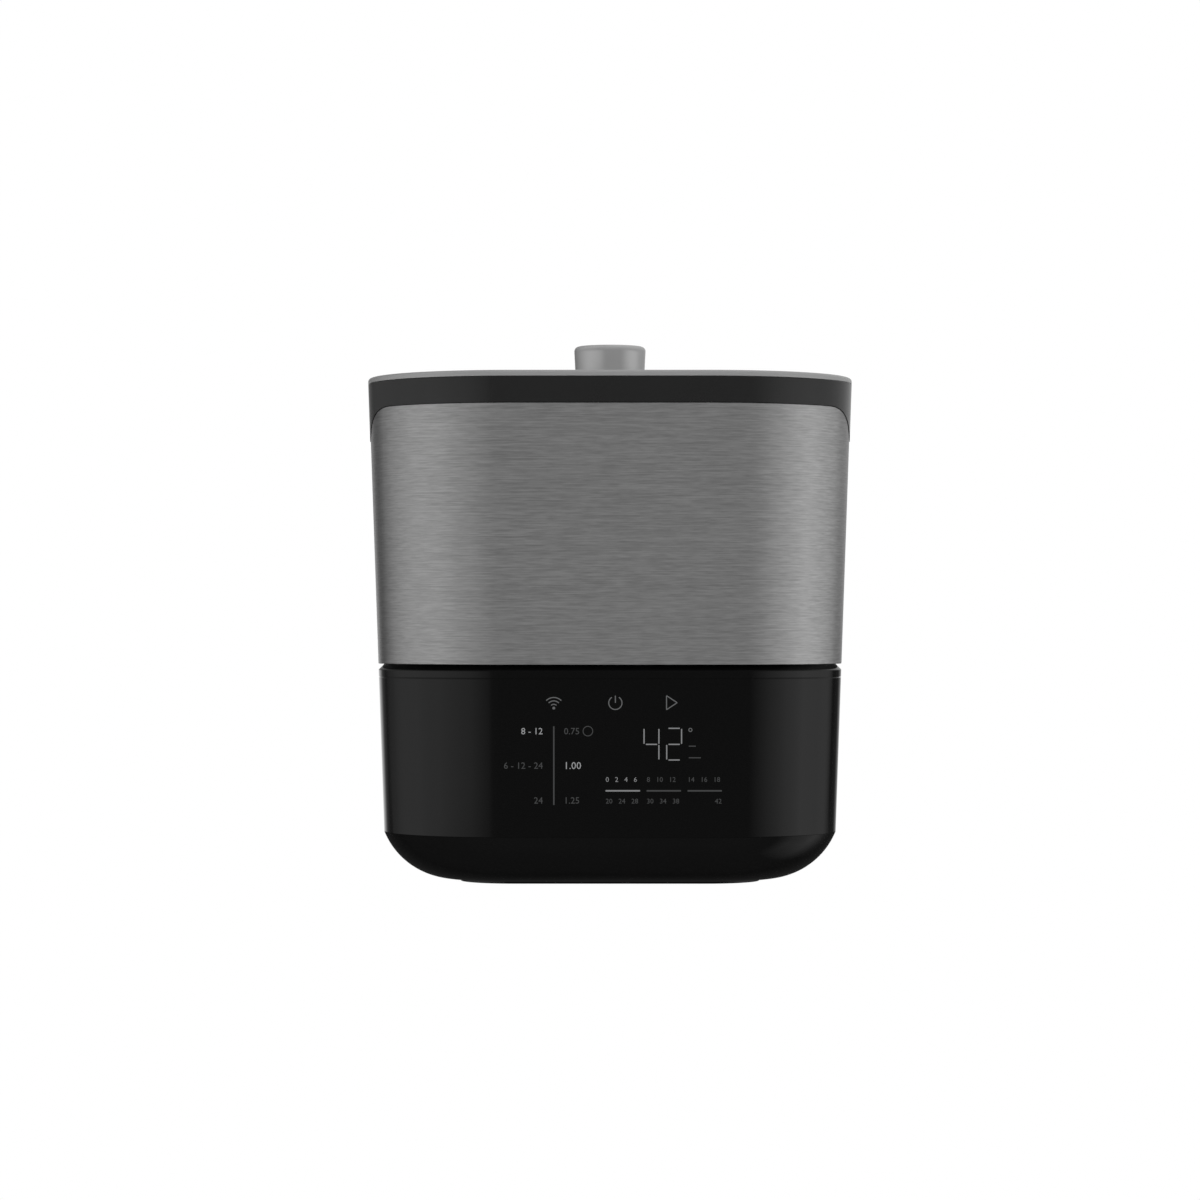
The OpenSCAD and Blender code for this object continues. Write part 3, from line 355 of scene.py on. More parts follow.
class Wire:
    """A node's output, on which plain arithmetic adds the nodes that work it out."""

    def __init__(self, recipe, socket):
        self.recipe, self.socket = recipe, socket

    def out(self, name):
        """Another output of the same node."""
        return Wire(self.recipe, self.socket.node.outputs[name])

    def maths(self, operation, first, second):
        """A Math node."""
        return self.recipe.node("ShaderNodeMath", {"operation": operation}, {0: first, 1: second})

    def __add__(self, other):
        return self.maths("ADD", self, other)

    def __radd__(self, other):
        return self.maths("ADD", other, self)

    def __sub__(self, other):
        return self.maths("SUBTRACT", self, other)

    def __rsub__(self, other):
        return self.maths("SUBTRACT", other, self)

    def __mul__(self, other):
        return self.maths("MULTIPLY", self, other)

    def __rmul__(self, other):
        return self.maths("MULTIPLY", other, self)

    def __truediv__(self, other):
        return self.maths("DIVIDE", self, other)

    def __rtruediv__(self, other):
        return self.maths("DIVIDE", other, self)

    def __gt__(self, other):
        return self.maths("GREATER_THAN", self, other)


class Recipe:
    """Collects the nodes of one finish, or of the world."""

    def __init__(self, owner):
        owner.use_nodes = True
        self.owner = owner
        self.tree = owner.node_tree
        self.tree.nodes.clear()

    def node(self, kind, settings=None, sockets=None, out=0):
        """Adds a node with its settings, then the values or links of its sockets."""
        made = self.tree.nodes.new(kind)
        for key, value in (settings or {}).items():
            if key == "stops":
                self.set_stops(made.color_ramp, sorted(value))
            else:
                setattr(made, key, value)
        for key, value in (sockets or {}).items():
            if isinstance(value, Wire):
                self.tree.links.new(value.socket, made.inputs[key])
            else:
                made.inputs[key].default_value = value
        return Wire(self, made.outputs[out]) if made.outputs else None

    def set_stops(self, ramp, stops):
        """Places every stop of a ramp before any gets its colour, because a ramp sorts its stops."""
        while len(ramp.elements) < len(stops):
            ramp.elements.new(0.5)
        for element, (position, _) in zip(ramp.elements, stops):
            element.position = position
        for element, (_, level) in zip(ramp.elements, stops):
            element.color = level if isinstance(level, tuple) else grey(level)

    def place(self, stretch=(1, 1, 1)):
        """Object coordinates, stretched for a pattern."""
        spot = self.node("ShaderNodeTexCoord", out="Object")
        return self.node("ShaderNodeMapping", {"vector_type": "POINT"},
                         {"Vector": spot, "Scale": stretch})

    def noise(self, scale=1, stretch=(1, 1, 1), detail=3, rough=0.5):
        """A cloudy pattern from 0 to 1, drawn out along the axes that stretch the least."""
        return self.node("ShaderNodeTexNoise", {"noise_dimensions": "3D"},
                         {"Vector": self.place(stretch), "Scale": scale, "Detail": detail,
                          "Roughness": rough})

    def ramp(self, factor, stops):
        """A colour or grey level for each factor, from (factor, level) stops."""
        return self.node("ShaderNodeValToRGB", {"stops": stops}, {"Fac": factor})

    def blend(self, factor, first, second, mode="MIX"):
        """Two colours mixed: the first at factor 0, the second at 1."""
        return self.node("ShaderNodeMix", {"data_type": "RGBA", "blend_type": mode},
                         {0: factor, 6: first, 7: second}, out=2)

    def vary(self, pattern, colour, low, high):
        """A colour that goes from low to high times itself as the pattern goes from 0 to 1."""
        return self.blend(pattern, times(colour, low), times(colour, high))

    def bump(self, height, depth):
        return self.node("ShaderNodeBump", {},
                         {"Height": height, "Distance": depth, "Strength": 1.0})

    def surface(self, **sockets):
        """Ends a finish with its shader, whose sockets are named with _ for a space."""
        names = {key.replace("_", " "): value for key, value in sockets.items()}
        made = self.node("ShaderNodeBsdfPrincipled", {}, names)
        self.node("ShaderNodeOutputMaterial", {}, {"Surface": made})
        return self.owner


def finish_recipe(name):
    return Recipe(bpy.data.materials.new(name))


def grey(level, warm=0.0):
    """A linear grey, made a little warmer or cooler on request."""
    return (level * (1 + warm), level, level * (1 - warm), 1)


def times(colour, by):
    """A colour made darker or lighter."""
    return (*(c * by for c in colour[:3]), 1)


def near(middle, *patterns):
    """A value about the middle, which each (pattern, spread) pair pushes up and down."""
    total = middle - sum(spread for _, spread in patterns) / 2
    for pattern, spread in patterns:
        total = pattern * spread + total
    return total


def painted(name, level, metal, rough):
    """Satin paint with fine flakes and a little orange peel."""
    r = finish_recipe(name)
    flakes = r.noise(scale=5200, detail=2, rough=0.6)
    patches = r.noise(scale=38, detail=4)
    peel = r.noise(scale=900, detail=2) + flakes * 0.35
    colour = r.vary(flakes, grey(level), 0.90, 1.10)
    colour = r.blend(patches * 0.12, colour, grey(level * 0.8))
    return r.surface(Base_Color=colour, Metallic=metal, Roughness=near(rough, (patches, 0.06)),
                     Normal=r.bump(peel, 0.004 * mm))


def moulded(name, colour, rough, grain=0.006 * mm, grain_scale=2600, spec=0.5):
    """Moulded plastic or rubber with a fine spark-eroded grain."""
    r = finish_recipe(name)
    pits = r.noise(scale=grain_scale, rough=0.62)
    patches = r.noise(scale=26)
    shade = r.vary(patches, colour, 0.86, 1.14)
    shade = r.blend(pits * 0.25, shade, times(colour, 0.86))
    return r.surface(Base_Color=shade, Roughness=near(rough, (patches, 0.08), (pits, 0.06)),
                     Specular_IOR_Level=spec, Normal=r.bump(pits, grain))


def brushed(name, level, rough):
    """Sheet metal with level brushing that runs round the body, in short lines over finer long ones."""
    r = finish_recipe(name)
    short_lines = r.noise(stretch=(110, 110, 1300), rough=0.6)
    long_lines = r.noise(stretch=(30, 30, 2200), detail=2)
    lines = short_lines * 0.6 + long_lines * 0.4
    patches = r.noise(scale=9, detail=2)
    colour = r.ramp(lines, [(0.36, grey(level * 0.8)), (0.5, grey(level)), (0.64, grey(level * 1.2))])
    colour = r.blend(patches * 0.10, colour, grey(level * 0.85))
    return r.surface(Base_Color=colour, Metallic=1.0, Anisotropic=0.88, Anisotropic_Rotation=0.25,
                     Roughness=near(rough, (lines, 0.12)), Normal=r.bump(lines, 0.0016 * mm))


def turned(name, level, rough):
    """Metal that was spun or turned, with fine rings round the upright axis."""
    r = finish_recipe(name)
    rings = r.noise(stretch=(60, 60, 2600), detail=2)
    patches = r.noise(scale=30)
    return r.surface(Base_Color=r.vary(rings, grey(level), 0.93, 1.07), Metallic=1.0,
                     Roughness=near(rough, (patches, 0.08)), Normal=r.bump(rings, 0.001 * mm))


def cast_metal(name, level, rough, warm=0.0, grain=0.02 * mm):
    """Metal with fine pits and a cloudy colour."""
    r = finish_recipe(name)
    pits = r.noise(scale=1400, detail=4, rough=0.65)
    patches = r.noise(scale=45)
    return r.surface(Base_Color=r.vary(patches, grey(level, warm), 0.86, 1.12), Metallic=1.0,
                     Roughness=near(rough, (pits, 0.16)), Normal=r.bump(pits, grain))


gloss_level = 0.185         # specular level of the gloss black, and of the print that shines through it


def polished_black(name):
    """High-gloss black plastic with the faintest ripple of its moulding."""
    r = finish_recipe(name)
    ripple = r.noise(scale=55, detail=1)
    haze = r.noise(scale=700)
    shade = r.blend(haze, grey(0.0008), grey(0.0014))
    return r.surface(Base_Color=shade, Roughness=near(0.06, (haze, 0.02)),
                     Specular_IOR_Level=gloss_level, Normal=r.bump(ripple, 0.004 * mm))


def lit_print(name, level):
    """Markings that glow through the black panel."""
    r = finish_recipe(name)
    grain = r.noise(scale=1500, detail=2)
    glow = r.vary(grain, grey(level, -0.015), 0.88, 1.08)
    return r.surface(Base_Color=grey(0.001), Roughness=0.08, Specular_IOR_Level=gloss_level,
                     Emission_Color=glow, Emission_Strength=1.0)


def coiled_wire(name, colour):
    """Enamelled wire wound in fine turns, with painted shade in the grooves between them."""
    r = finish_recipe(name)
    turns = r.node("ShaderNodeTexWave", {"wave_type": "BANDS", "bands_direction": "Z"},
                   {"Vector": r.place(), "Scale": 420, "Distortion": 0.4})
    turns = r.node("ShaderNodeSeparateColor", {}, {"Color": turns})
    # The colour darkens to 0.45 of itself in the grooves between turns: painted shade
    return r.surface(Base_Color=r.vary(turns, colour, 0.45, 1), Roughness=0.32,
                     Normal=r.bump(turns, 0.2 * mm))


def board_finish(name):
    """Circuit board with traces under its solder mask."""
    r = finish_recipe(name)
    tracks = r.node("ShaderNodeTexBrick", {},
                    {"Vector": r.place(), "Scale": 160, "Mortar Size": 0.03,
                     "Color1": (0.010, 0.085, 0.030, 1), "Color2": (0.013, 0.110, 0.040, 1),
                     "Mortar": (0.020, 0.150, 0.055, 1)})
    weave = r.noise(scale=1800, detail=2)
    return r.surface(Base_Color=tracks, Roughness=near(0.35, (weave, 0.1)),
                     Normal=r.bump(weave, 0.01 * mm))


# The finish of each material slot in the record
finishes = {
    "satin_grey": painted("satin_grey", 0.37, 0.42, 0.20),
    "brushed_steel": brushed("brushed_steel", 0.54, 0.37),
    "band_plastic": moulded("band_black", grey(0.0105), 0.14, grain=0.004 * mm, spec=0.37),
    "gloss_black": polished_black("gloss_black"),
    "black_plastic": moulded("black_plastic", grey(0.013), 0.48),
    "pot_steel": turned("pot_steel", 0.60, 0.26),
    "screw_steel": cast_metal("screw_steel", 0.55, 0.30, grain=0.005 * mm),
    "aluminium": turned("aluminium", 0.66, 0.34),
    "element_steel": cast_metal("element_steel", 0.24, 0.48, warm=0.04),
    "brass": cast_metal("brass", 0.5, 0.28, grain=0.004 * mm),
    "silicone": moulded("silicone", grey(0.036), 0.62, grain=0.012 * mm),
    "rubber": moulded("rubber", grey(0.018), 0.72, grain=0.02 * mm, grain_scale=1500),
    "foam": moulded("foam", grey(0.52, 0.02), 0.9, grain=0.25 * mm, grain_scale=420),
    "foam_tape": moulded("foam_tape", grey(0.02), 0.9, grain=0.15 * mm, grain_scale=800),
    "white_plastic": moulded("white_plastic", grey(0.62, 0.015), 0.42),
    "circuit_board": board_finish("circuit_board"),
    "copper_coils": coiled_wire("copper_coils", (0.52, 0.16, 0.05, 1)),
    "transformer_tape": moulded("transformer_tape", (0.62, 0.42, 0.05, 1), 0.35),
    "capacitor_sleeve": moulded("capacitor_sleeve", (0.012, 0.022, 0.060, 1), 0.30),
    "relay_case": moulded("relay_case", (0.015, 0.060, 0.260, 1), 0.32),
    "terminal_green": moulded("terminal_green", (0.020, 0.200, 0.050, 1), 0.42),
    "lead_red": moulded("lead_red", (0.380, 0.020, 0.014, 1), 0.45),
    "lead_brown": moulded("lead_brown", (0.110, 0.036, 0.014, 1), 0.45),
}
# A lighter copy of the satin grey for the knob: painted light, making up for the light that the lid
# keeps from it
knob_grey_painted_light = painted("knob_grey_painted_light", 0.46, 0.42, 0.18)
print_bright = lit_print("print_bright", 0.30)
print_mid = lit_print("print_mid", 0.22)
print_soft = lit_print("print_soft", 0.12)
print_dim = lit_print("print_dim", 0.055)


def dress_frame():
    """Gives every CAD node the finish of its slot in the record."""
    for part in frame["record"]["subparts"]:
        node = frame["nodes"][part["node"]]
        node.data.materials.clear()
        node.data.materials.append(finishes[part["material_slot"]])


# ---- Lid ----

def make_lid_plate():
    edge = lid_high.x - corner_c
    start_piece("lid_skin")
    draw([(0, lid_high.z - skin_t), (edge - skin_t, lid_high.z - skin_t), (edge - skin_t, lid_low.z),
          (edge, lid_low.z, lid_edge), (edge, lid_high.z, lid_fillet), (0, lid_high.z)])
    plate = round_body()
    carve(plate, post(socket_hole_d, lid_low.z - mm, lid_high.z + mm))
    leave(plate, "lid", "satin_grey", ["lid_plate"])


def make_knob():
    foot_r = knob_r - (knob_high.z - knob_low.z) * math.tan(knob_taper)
    start_piece("knob")
    draw([(knob_middle_r, knob_low.z), (foot_r, knob_low.z, knob_edge),
          (knob_r, knob_high.z, knob_fillet), (0, knob_high.z)])
    # The knob takes the lighter copy of the satin grey, which is painted light
    leave(turn(), "lid", "satin_grey", ["lid_knob"], knob_grey_painted_light)


# ---- Collar and shell ----

def ear_cutter(grow=0):
    """A block right across the body, whose outline is that of the two ears seen from the side."""
    top = shell_top_z + past
    steel_z = shell_top_z - ear_r
    corner_z = ear_z + ear_corner
    rise = math.degrees(math.asin((corner_z - steel_z) / (ear_r + ear_corner)))
    corner_y = ear_c - (ear_r + ear_corner) * math.cos(math.radians(rise))
    steel_r = ear_r - grow
    round_r = ear_corner + grow
    steel_steps = 12
    round_steps = 8
    start_piece("ear_cutter")
    draw([*arc_points(-ear_c, steel_z, steel_r, 90, rise, steel_steps),
          *arc_points(-corner_y, corner_z, round_r, 180 + rise, 270, round_steps)[1:],
          *arc_points(corner_y, corner_z, round_r, 270, 360 - rise, round_steps)[:-1],
          *arc_points(ear_c, steel_z, steel_r, 180 - rise, 90, steel_steps),
          (ear_c, top), (-ear_c, top)], closed=True)
    cutter = pull(far)
    cutter.location.y = -far / 2
    settle(cutter)
    cutter.rotation_euler.z = math.pi / 2
    return settle(cutter)


def make_skirt():
    """The ring behind the shell that closes the line above it."""
    skirt_x = side(shell_top_z - skirt_h) - shell_t - skirt_gap
    start_piece("skirt")
    draw([(skirt_x - skirt_t, shell_top_z - skirt_h), (skirt_x, shell_top_z - skirt_h),
          (skirt_x, shell_top_z + mm), (skirt_x - skirt_t, shell_top_z + mm)], closed=True)
    return round_body()


def make_collar():
    """The black band with its ears and deck, and the skirt."""
    foot_z = ear_z - 2 * mm     # below the ears, whose outline is cut afterwards
    under_z = deck_z - deck_t
    inner_low = band_side(ear_z) - collar_wall
    inner_top = band_side(collar_top_z) - collar_wall
    start_piece("collar")
    draw([(0, under_z), (inner_low + wall_lean, under_z), (inner_low, foot_z),
          (band_side(foot_z), foot_z), (band_side(collar_top_z), collar_top_z, collar_edge),
          (inner_top, collar_top_z, collar_edge), (inner_top, deck_z, deck_fillet), (0, deck_z)])
    collar = round_body()
    keep = block((-far / 2, -far / 2, shell_top_z), (far / 2, far / 2, collar_top_z + past))
    carve(keep, ear_cutter(), "UNION")
    carve(collar, keep, "INTERSECT")
    carve(collar, post(well_d, deck_z - past, deck_z + past, vertices=160))
    carve(collar, make_skirt(), "UNION")
    leave(collar, "housing", "band_plastic", ["upper_collar"])


def make_shell():
    foot = side(seam_z)
    rim_z = shell_top_z - collar_gap
    rim = side(rim_z)
    start_piece("shell")
    draw([(foot - hem_w, seam_z), (foot, seam_z, hem_fillet), (rim, rim_z, shell_edge),
          (rim - shell_t, rim_z), (foot - shell_t, seam_z + shell_t),
          (foot - hem_w, seam_z + shell_t)], closed=True)
    shell = round_body()
    carve(shell, ear_cutter(collar_gap))
    leave(shell, "housing", "brushed_steel", ["steel_shell"])


# ---- Base ----

def make_top_ring():
    groove_x = side(part_z) - groove_d
    groove_top_z = part_z + groove_h
    bevel_z = seam_z - seam_bevel
    hem_x = side(seam_z) - hem_w
    start_piece("base_ring")
    draw([(hem_x - ring_reach, part_z), (groove_x, part_z), (groove_x, groove_top_z),
          (side(groove_top_z), groove_top_z, part_edge), (side(bevel_z), bevel_z, bevel_edge),
          (side(bevel_z) - seam_bevel, seam_z, bevel_edge), (hem_x - lip_reach, seam_z),
          (hem_x - lip_reach, seam_z - lip_t), (hem_x - ring_reach, seam_z - lip_t)], closed=True)
    leave(round_body(), "housing", "gloss_black", ["base_top_ring"])


def back_cutter(w, h, z):
    """A block through the back wall, square to it and centred at height z."""
    cutter = block((-w / 2, back_cut[0], -h / 2), (w / 2, back_cut[1], h / 2))
    cutter.matrix_world = (Matrix.Translation((0, corner_c + side(z), z))
                           @ Matrix.Rotation(-draft, 4, "X"))
    return settle(cutter)


def make_housing():
    start_piece("base_skin")
    draw([(side(crease_z) - base_wall, crease_z), (side(crease_z), crease_z, base_edge),
          (side(part_z), part_z, part_edge), (side(part_z) - base_wall, part_z)], closed=True)
    wall = round_body()
    cutters = [back_cutter(slot_w, slot_h, part_z - back_slot_drop - i * slot_pitch)
               for i in range(back_slots)]
    cutters.append(back_cutter(*inlet_hole, (inlet_low.z + inlet_high.z) / 2))
    carve(wall, join(cutters))
    leave(wall, "housing", "gloss_black", ["base_housing"])


def make_tray():
    crease_x = side(crease_z)
    bowl_z = tray_low.z + bowl_r
    bowl_x = crease_x - math.sqrt(bowl_r ** 2 - (bowl_z - crease_z) ** 2)
    inner_r = bowl_r - tray_wall
    rise = math.degrees(math.asin((bowl_z - crease_z) / bowl_r))
    inner_rise = math.degrees(math.asin((bowl_z - crease_z) / inner_r))
    plinth_rise = math.degrees(math.asin((plinth_x - bowl_x) / bowl_r))
    lip_x = crease_x - base_wall - tray_lip_gap
    floor_z = tray_low.z + tray_wall
    start_piece("tray")
    draw([(0, plinth_z), (plinth_x, plinth_z),
          *arc_points(bowl_x, bowl_z, bowl_r, plinth_rise - 90, -rise, 30),
          (lip_x, crease_z), (lip_x, tray_high.z), (lip_x - tray_lip_t, tray_high.z),
          (lip_x - tray_lip_t, crease_z),
          *reversed(arc_points(bowl_x, bowl_z, inner_r, -90, -inner_rise - bowl_fade, 16)),
          (0, floor_z)])
    tray = round_body()
    slots = []
    for i in range(fan_slots):
        from_middle = i - fan_slots // 2
        half = slot_w / 2 - abs(from_middle) * slot_step
        y = from_middle * slot_pitch
        slots.append(block((-half, y - slot_h / 2, slot_cut[0]), (half, y + slot_h / 2, slot_cut[1])))
    heads, pockets, holes = [], [], []
    for x, y in ((-1, -1), (-1, 1), (1, -1), (1, 1)):
        screw = (x * screw_x, y * screw_y)
        heads.append(post(screw_head_d, -mm, tray_low.z + screw_head_h, *screw, vertices=32))
        pockets.append(post(foot_pocket_d, -mm, tray_low.z + foot_pocket, x * foot_c, y * foot_c, 48))
        holes.append(post(screw_hole_d, *hole_cut, *screw, vertices=24))
    for cutters in (slots, heads, pockets, holes):
        carve(tray, join(cutters))
    leave(tray, "housing", "gloss_black", ["bottom_tray"])


# ---- Pot ----

def make_pot():
    inner_r = pot_r - pot_wall
    rim_r = pot_high.x - roll_r
    rim_under_z = pot_high.z - pot_wall
    start_piece("pot")
    draw([(0, pot_low.z), (pot_r, pot_low.z, pot_corner), (pot_r, rim_under_z),
          (rim_r - roll_start, rim_under_z),
          *arc_points(rim_r, pot_high.z - roll_r, roll_r, 200, 450, 20),
          (inner_r, pot_high.z, mouth_fillet),
          (inner_r, pot_low.z + pot_wall, pot_corner - pot_wall), (0, pot_low.z + pot_wall)])
    leave(turn(160), "pot", "pot_steel", ["inner_pot"])


# ---- Panel marks ----

panel_z = 69 * mm           # height of the panel's middle, about which its marks lean with the wall
mark_t = 0.06 * mm          # thickness of a mark
font_share = 1.4            # a numeral's font size over its height
key_line = 0.5 * mm
digit_line = 0.6 * mm
ring_line = 0.4 * mm
divider_line = 0.7 * mm
bar_line = 0.75 * mm


def stroke(x0, z0, x1, z1, width):
    """A straight mark on the panel's plane."""
    length, angle = math.hypot(x1 - x0, z1 - z0), math.atan2(z1 - z0, x1 - x0)
    bpy.ops.object.select_all(action="DESELECT")
    bpy.ops.mesh.primitive_plane_add(size=1)
    piece = bpy.context.active_object
    piece.scale = (length, width, 1)
    settle(piece)
    piece.rotation_euler = (math.pi / 2, -angle, 0)
    piece.location = ((x0 + x1) / 2, 0, (z0 + z1) / 2)
    return settle(piece)


def bow(x, z, r, width, first=0, last=360):
    """A mark along an arc about (x, z), with its angles in degrees, or a whole ring."""
    start = math.radians(first)
    across = Vector((math.cos(start), 0, math.sin(start)))
    piece = start_piece("bow")
    bpy.ops.transform.translate(value=Vector((x, 0, z)) + across * (r - width / 2))
    bpy.ops.mesh.extrude_vertices_move(TRANSFORM_OT_translate={"value": across * width})
    bpy.ops.mesh.select_all(action="SELECT")
    bpy.ops.mesh.spin(steps=max(6, round(abs(last - first) / 10)), angle=math.radians(last - first),
                      center=(x, 0, z), axis=(0, 1, 0))
    bpy.ops.mesh.select_all(action="SELECT")
    bpy.ops.mesh.remove_doubles(threshold=same_point)
    bpy.ops.object.mode_set(mode="OBJECT")
    return piece


def numerals(text, x, z, height, align="LEFT"):
    """Plain numerals on the panel's plane, centred on height z."""
    bpy.ops.object.select_all(action="DESELECT")
    bpy.ops.object.text_add(rotation=(math.pi / 2, 0, 0), location=(x, 0, z))
    letters = bpy.context.active_object
    letters.data.body = text
    letters.data.size = height * font_share
    letters.data.align_x, letters.data.align_y = align, "CENTER"
    letters.data.resolution_u = 2
    bpy.ops.object.convert(target="MESH")
    return settle(bpy.context.active_object)


def on_panel(marks, name, finish):
    """Joins marks, gives them their thickness and lays them on the front wall."""
    piece = join(marks)
    piece.name = piece.data.name = name
    piece.data.transform(Matrix.Translation((0, 0, -panel_z)))
    thick = piece.modifiers.new("thickness", "SOLIDIFY")
    thick.thickness, thick.offset = mark_t, 0
    select_only(piece)
    bpy.ops.object.modifier_apply(modifier=thick.name)
    piece.rotation_euler.x = draft
    piece.location = (0, -corner_c - side(panel_z), panel_z)
    settle(piece)
    leave(piece, "housing", "gloss_black", finish=finish)


def key_marks():
    """The keys: wireless arcs over their dot, a power sign and a start sign."""
    arcs_x, arcs_z = -28 * mm, 90.5 * mm
    power_x, power_z = 2.7 * mm, 93.1 * mm
    play_left, play_right = 28.2 * mm, 33.5 * mm
    play_top, play_mid, play_low = 96.7 * mm, 93.2 * mm, 89.7 * mm
    marks = [bow(arcs_x, arcs_z, r * mm, key_line, 45, 135) for r in (1.9, 3.6, 5.3)]
    marks += [bow(arcs_x, arcs_z, 0.35 * mm, 0.68 * mm),
              bow(power_x, power_z, 3.3 * mm, key_line, 122, 418),
              stroke(power_x, power_z, power_x, power_z + 3.6 * mm, key_line),
              stroke(play_left, play_top, play_left, play_low, key_line),
              stroke(play_left, play_low, play_right, play_mid, key_line),
              stroke(play_right, play_mid, play_left, play_top, key_line)]
    return marks


def digit_marks(left, lit):
    """The lit segments of a seven-segment digit that starts at x = left."""
    right = left + 7.4 * mm
    top, middle, bottom = 80.4 * mm, 72.4 * mm, 64.6 * mm
    ends = {"top": (left, top, right, top), "middle": (left, middle, right, middle),
            "bottom": (left, bottom, right, bottom), "upper_left": (left, top, left, middle),
            "upper_right": (right, top, right, middle), "lower_left": (left, middle, left, bottom),
            "lower_right": (right, middle, right, bottom)}
    marks = []
    for segment in lit:
        x0, z0, x1, z1 = ends[segment]
        gap = 0.3 * mm if x0 == x1 else 0.9 * mm
        short = Vector((x1 - x0, z1 - z0)).normalized() * gap
        marks.append(stroke(x0 + short.x, z0 + short.y, x1 - short.x, z1 - short.y, digit_line))
    return marks


def make_panel():
    rows = [78.8 * mm, 61.6 * mm, 44.2 * mm]
    divider_x = -28 * mm
    left_x = divider_x - 5.4 * mm
    right_x = divider_x + 5 * mm
    row_h = 3.3 * mm
    bars = [(-2.2 * mm, 15.0 * mm), (18.3 * mm, 35.4 * mm), (38.7 * mm, 55.8 * mm)]
    bar_z, above_z, below_z = 49.2 * mm, 54.7 * mm, 43.9 * mm
    small_h = 2.5 * mm
    unit_x = 39.3 * mm

    def bar(i, above):
        """A bar of the time scale, with the numerals above it."""
        start, end = bars[i]
        return [stroke(start, bar_z, end, bar_z, bar_line), numerals(above, start, above_z, small_h)]

    keys = [*key_marks(), bow(40.1 * mm, 79.6 * mm, 0.8 * mm, ring_line)]
    digits = [*digit_marks(17 * mm, ("upper_left", "middle", "upper_right", "lower_right")),
              *digit_marks(28.3 * mm, ("top", "upper_right", "middle", "lower_left", "bottom")),
              *bar(0, "0   2   4   6")]
    bright = [numerals("8 - 12", left_x, rows[0], row_h, "RIGHT"),
              numerals("1.00", right_x, rows[1], row_h * 1.1)]
    dim = [numerals("6 - 12 - 24", left_x, rows[1], row_h, "RIGHT"),
           numerals("24", left_x, rows[2], row_h, "RIGHT"),
           numerals("0.75", right_x, rows[0], row_h),
           numerals("1.25", right_x, rows[2], row_h),
           bow(-11 * mm, 79 * mm, 2.4 * mm, ring_line),
           *bar(1, "8   10   12"),
           *bar(2, "14   16   18"),
           numerals("20   24   28", bars[0][0], below_z, small_h),
           numerals("30   34   38", bars[1][0], below_z, small_h),
           numerals("42", bars[2][1], below_z, small_h, "RIGHT"),
           stroke(unit_x, 71.5 * mm, unit_x + 3.5 * mm, 71.5 * mm, key_line),
           stroke(unit_x, 65.7 * mm, unit_x + 6 * mm, 65.7 * mm, key_line),
           stroke(divider_x, 42.1 * mm, divider_x, 81.4 * mm, divider_line)]
    on_panel(keys, "panel_keys", print_soft)
    on_panel(digits, "panel_digits", print_mid)
    on_panel(bright, "panel_marks_bright", print_bright)
    on_panel(dim, "panel_marks_dim", print_dim)


# ---- Studio ----

camera_y = -2.030
camera_z = 132.1 * mm
camera_tilt = math.radians(0.3676)
camera_turn = math.radians(0.1487)
camera_lens = 115.02        # millimetres, as Blender counts a lens and its sensor
camera_sensor = 36
floor_size = 24
lamp_place = (0.3, -0.8, 2.2)
lamp_size = 1.6
lamp_power = 18
lamp_aim = (0, 0, 0.14)

# What the finishes reflect. A direction is in degrees from the camera's side towards +X, a height
# goes from 0, straight down, to 1, straight up, and a depth from 0, the camera's side, to 1.

# The walls: how bright they are by direction, and at which heights they show
wall_light = [(-180, 1.0), (-166, 1.0), (-157, 0.7), (-150, 0.18), (-140, 0.07), (-125, 0.31),
              (-108, 0.8), (-90, 1.27), (-67, 1.48), (-52, 1.33), (-37, 1.13), (-21, 0.58),
              (-18, 0.33), (-12, 0.29), (37, 0.29), (55, 1.0), (72, 1.5), (90, 1.6), (110, 0.9),
              (126, 0.5), (138, 0.05), (153, 0.06), (166, 0.45), (176, 1.0), (180, 1.0)]
wall_share = 0.46
wall_heights = [(0.41, 0.0), (0.445, 1.0), (0.4825, 1.0), (0.515, 0.0)]
back_heights = [(0.455, 0.0), (0.466, 1.0), (0.49, 1.0), (0.515, 0.0)]
back_start = 0.7            # how far back a direction points before it counts as behind

# What lies above the walls, by direction
ceiling_light = [(-180, 0.5), (-165, 0.22), (-148, 0.12), (-132, 0.26), (-112, 0.42), (-90, 0.47),
                 (-62, 0.44), (-48, 0.33), (-36, 0.30), (30, 0.30), (46, 0.31), (56, 0.38),
                 (68, 0.43), (90, 0.48), (150, 0.50), (180, 0.5)]
ceiling_share = 0.5

# The ground, by depth, with a glow to the right by direction and by how far +X it lies
ground_light = [(0.0, 0.17), (0.25, 0.16), (0.5, 0.10), (0.8, 0.025), (1.0, 0.015)]
right_light = [(78, 0), (96, 0.24), (122, 0.25), (140, 0.06), (160, 0)]
right_reach = [(0.74, 0.0), (0.87, 1.0)]
ground_top = 0.36           # height where the ground's light ends and the ceiling's starts
back_ground_rise = 0.11     # how much higher that is behind

plain_strength = 0.8        # of the light on colours
studio_strength = 2.0       # of the light in reflections


def make_camera():
    bpy.ops.object.camera_add(location=(0, camera_y, camera_z),
                              rotation=(math.pi / 2 + camera_tilt, 0, camera_turn))
    camera = bpy.context.active_object
    camera.name = "camera"
    camera.data.lens = camera_lens
    camera.data.sensor_width = camera_sensor
    camera.data.clip_start, camera.data.clip_end = 0.05, 50
    bpy.context.scene.camera = camera


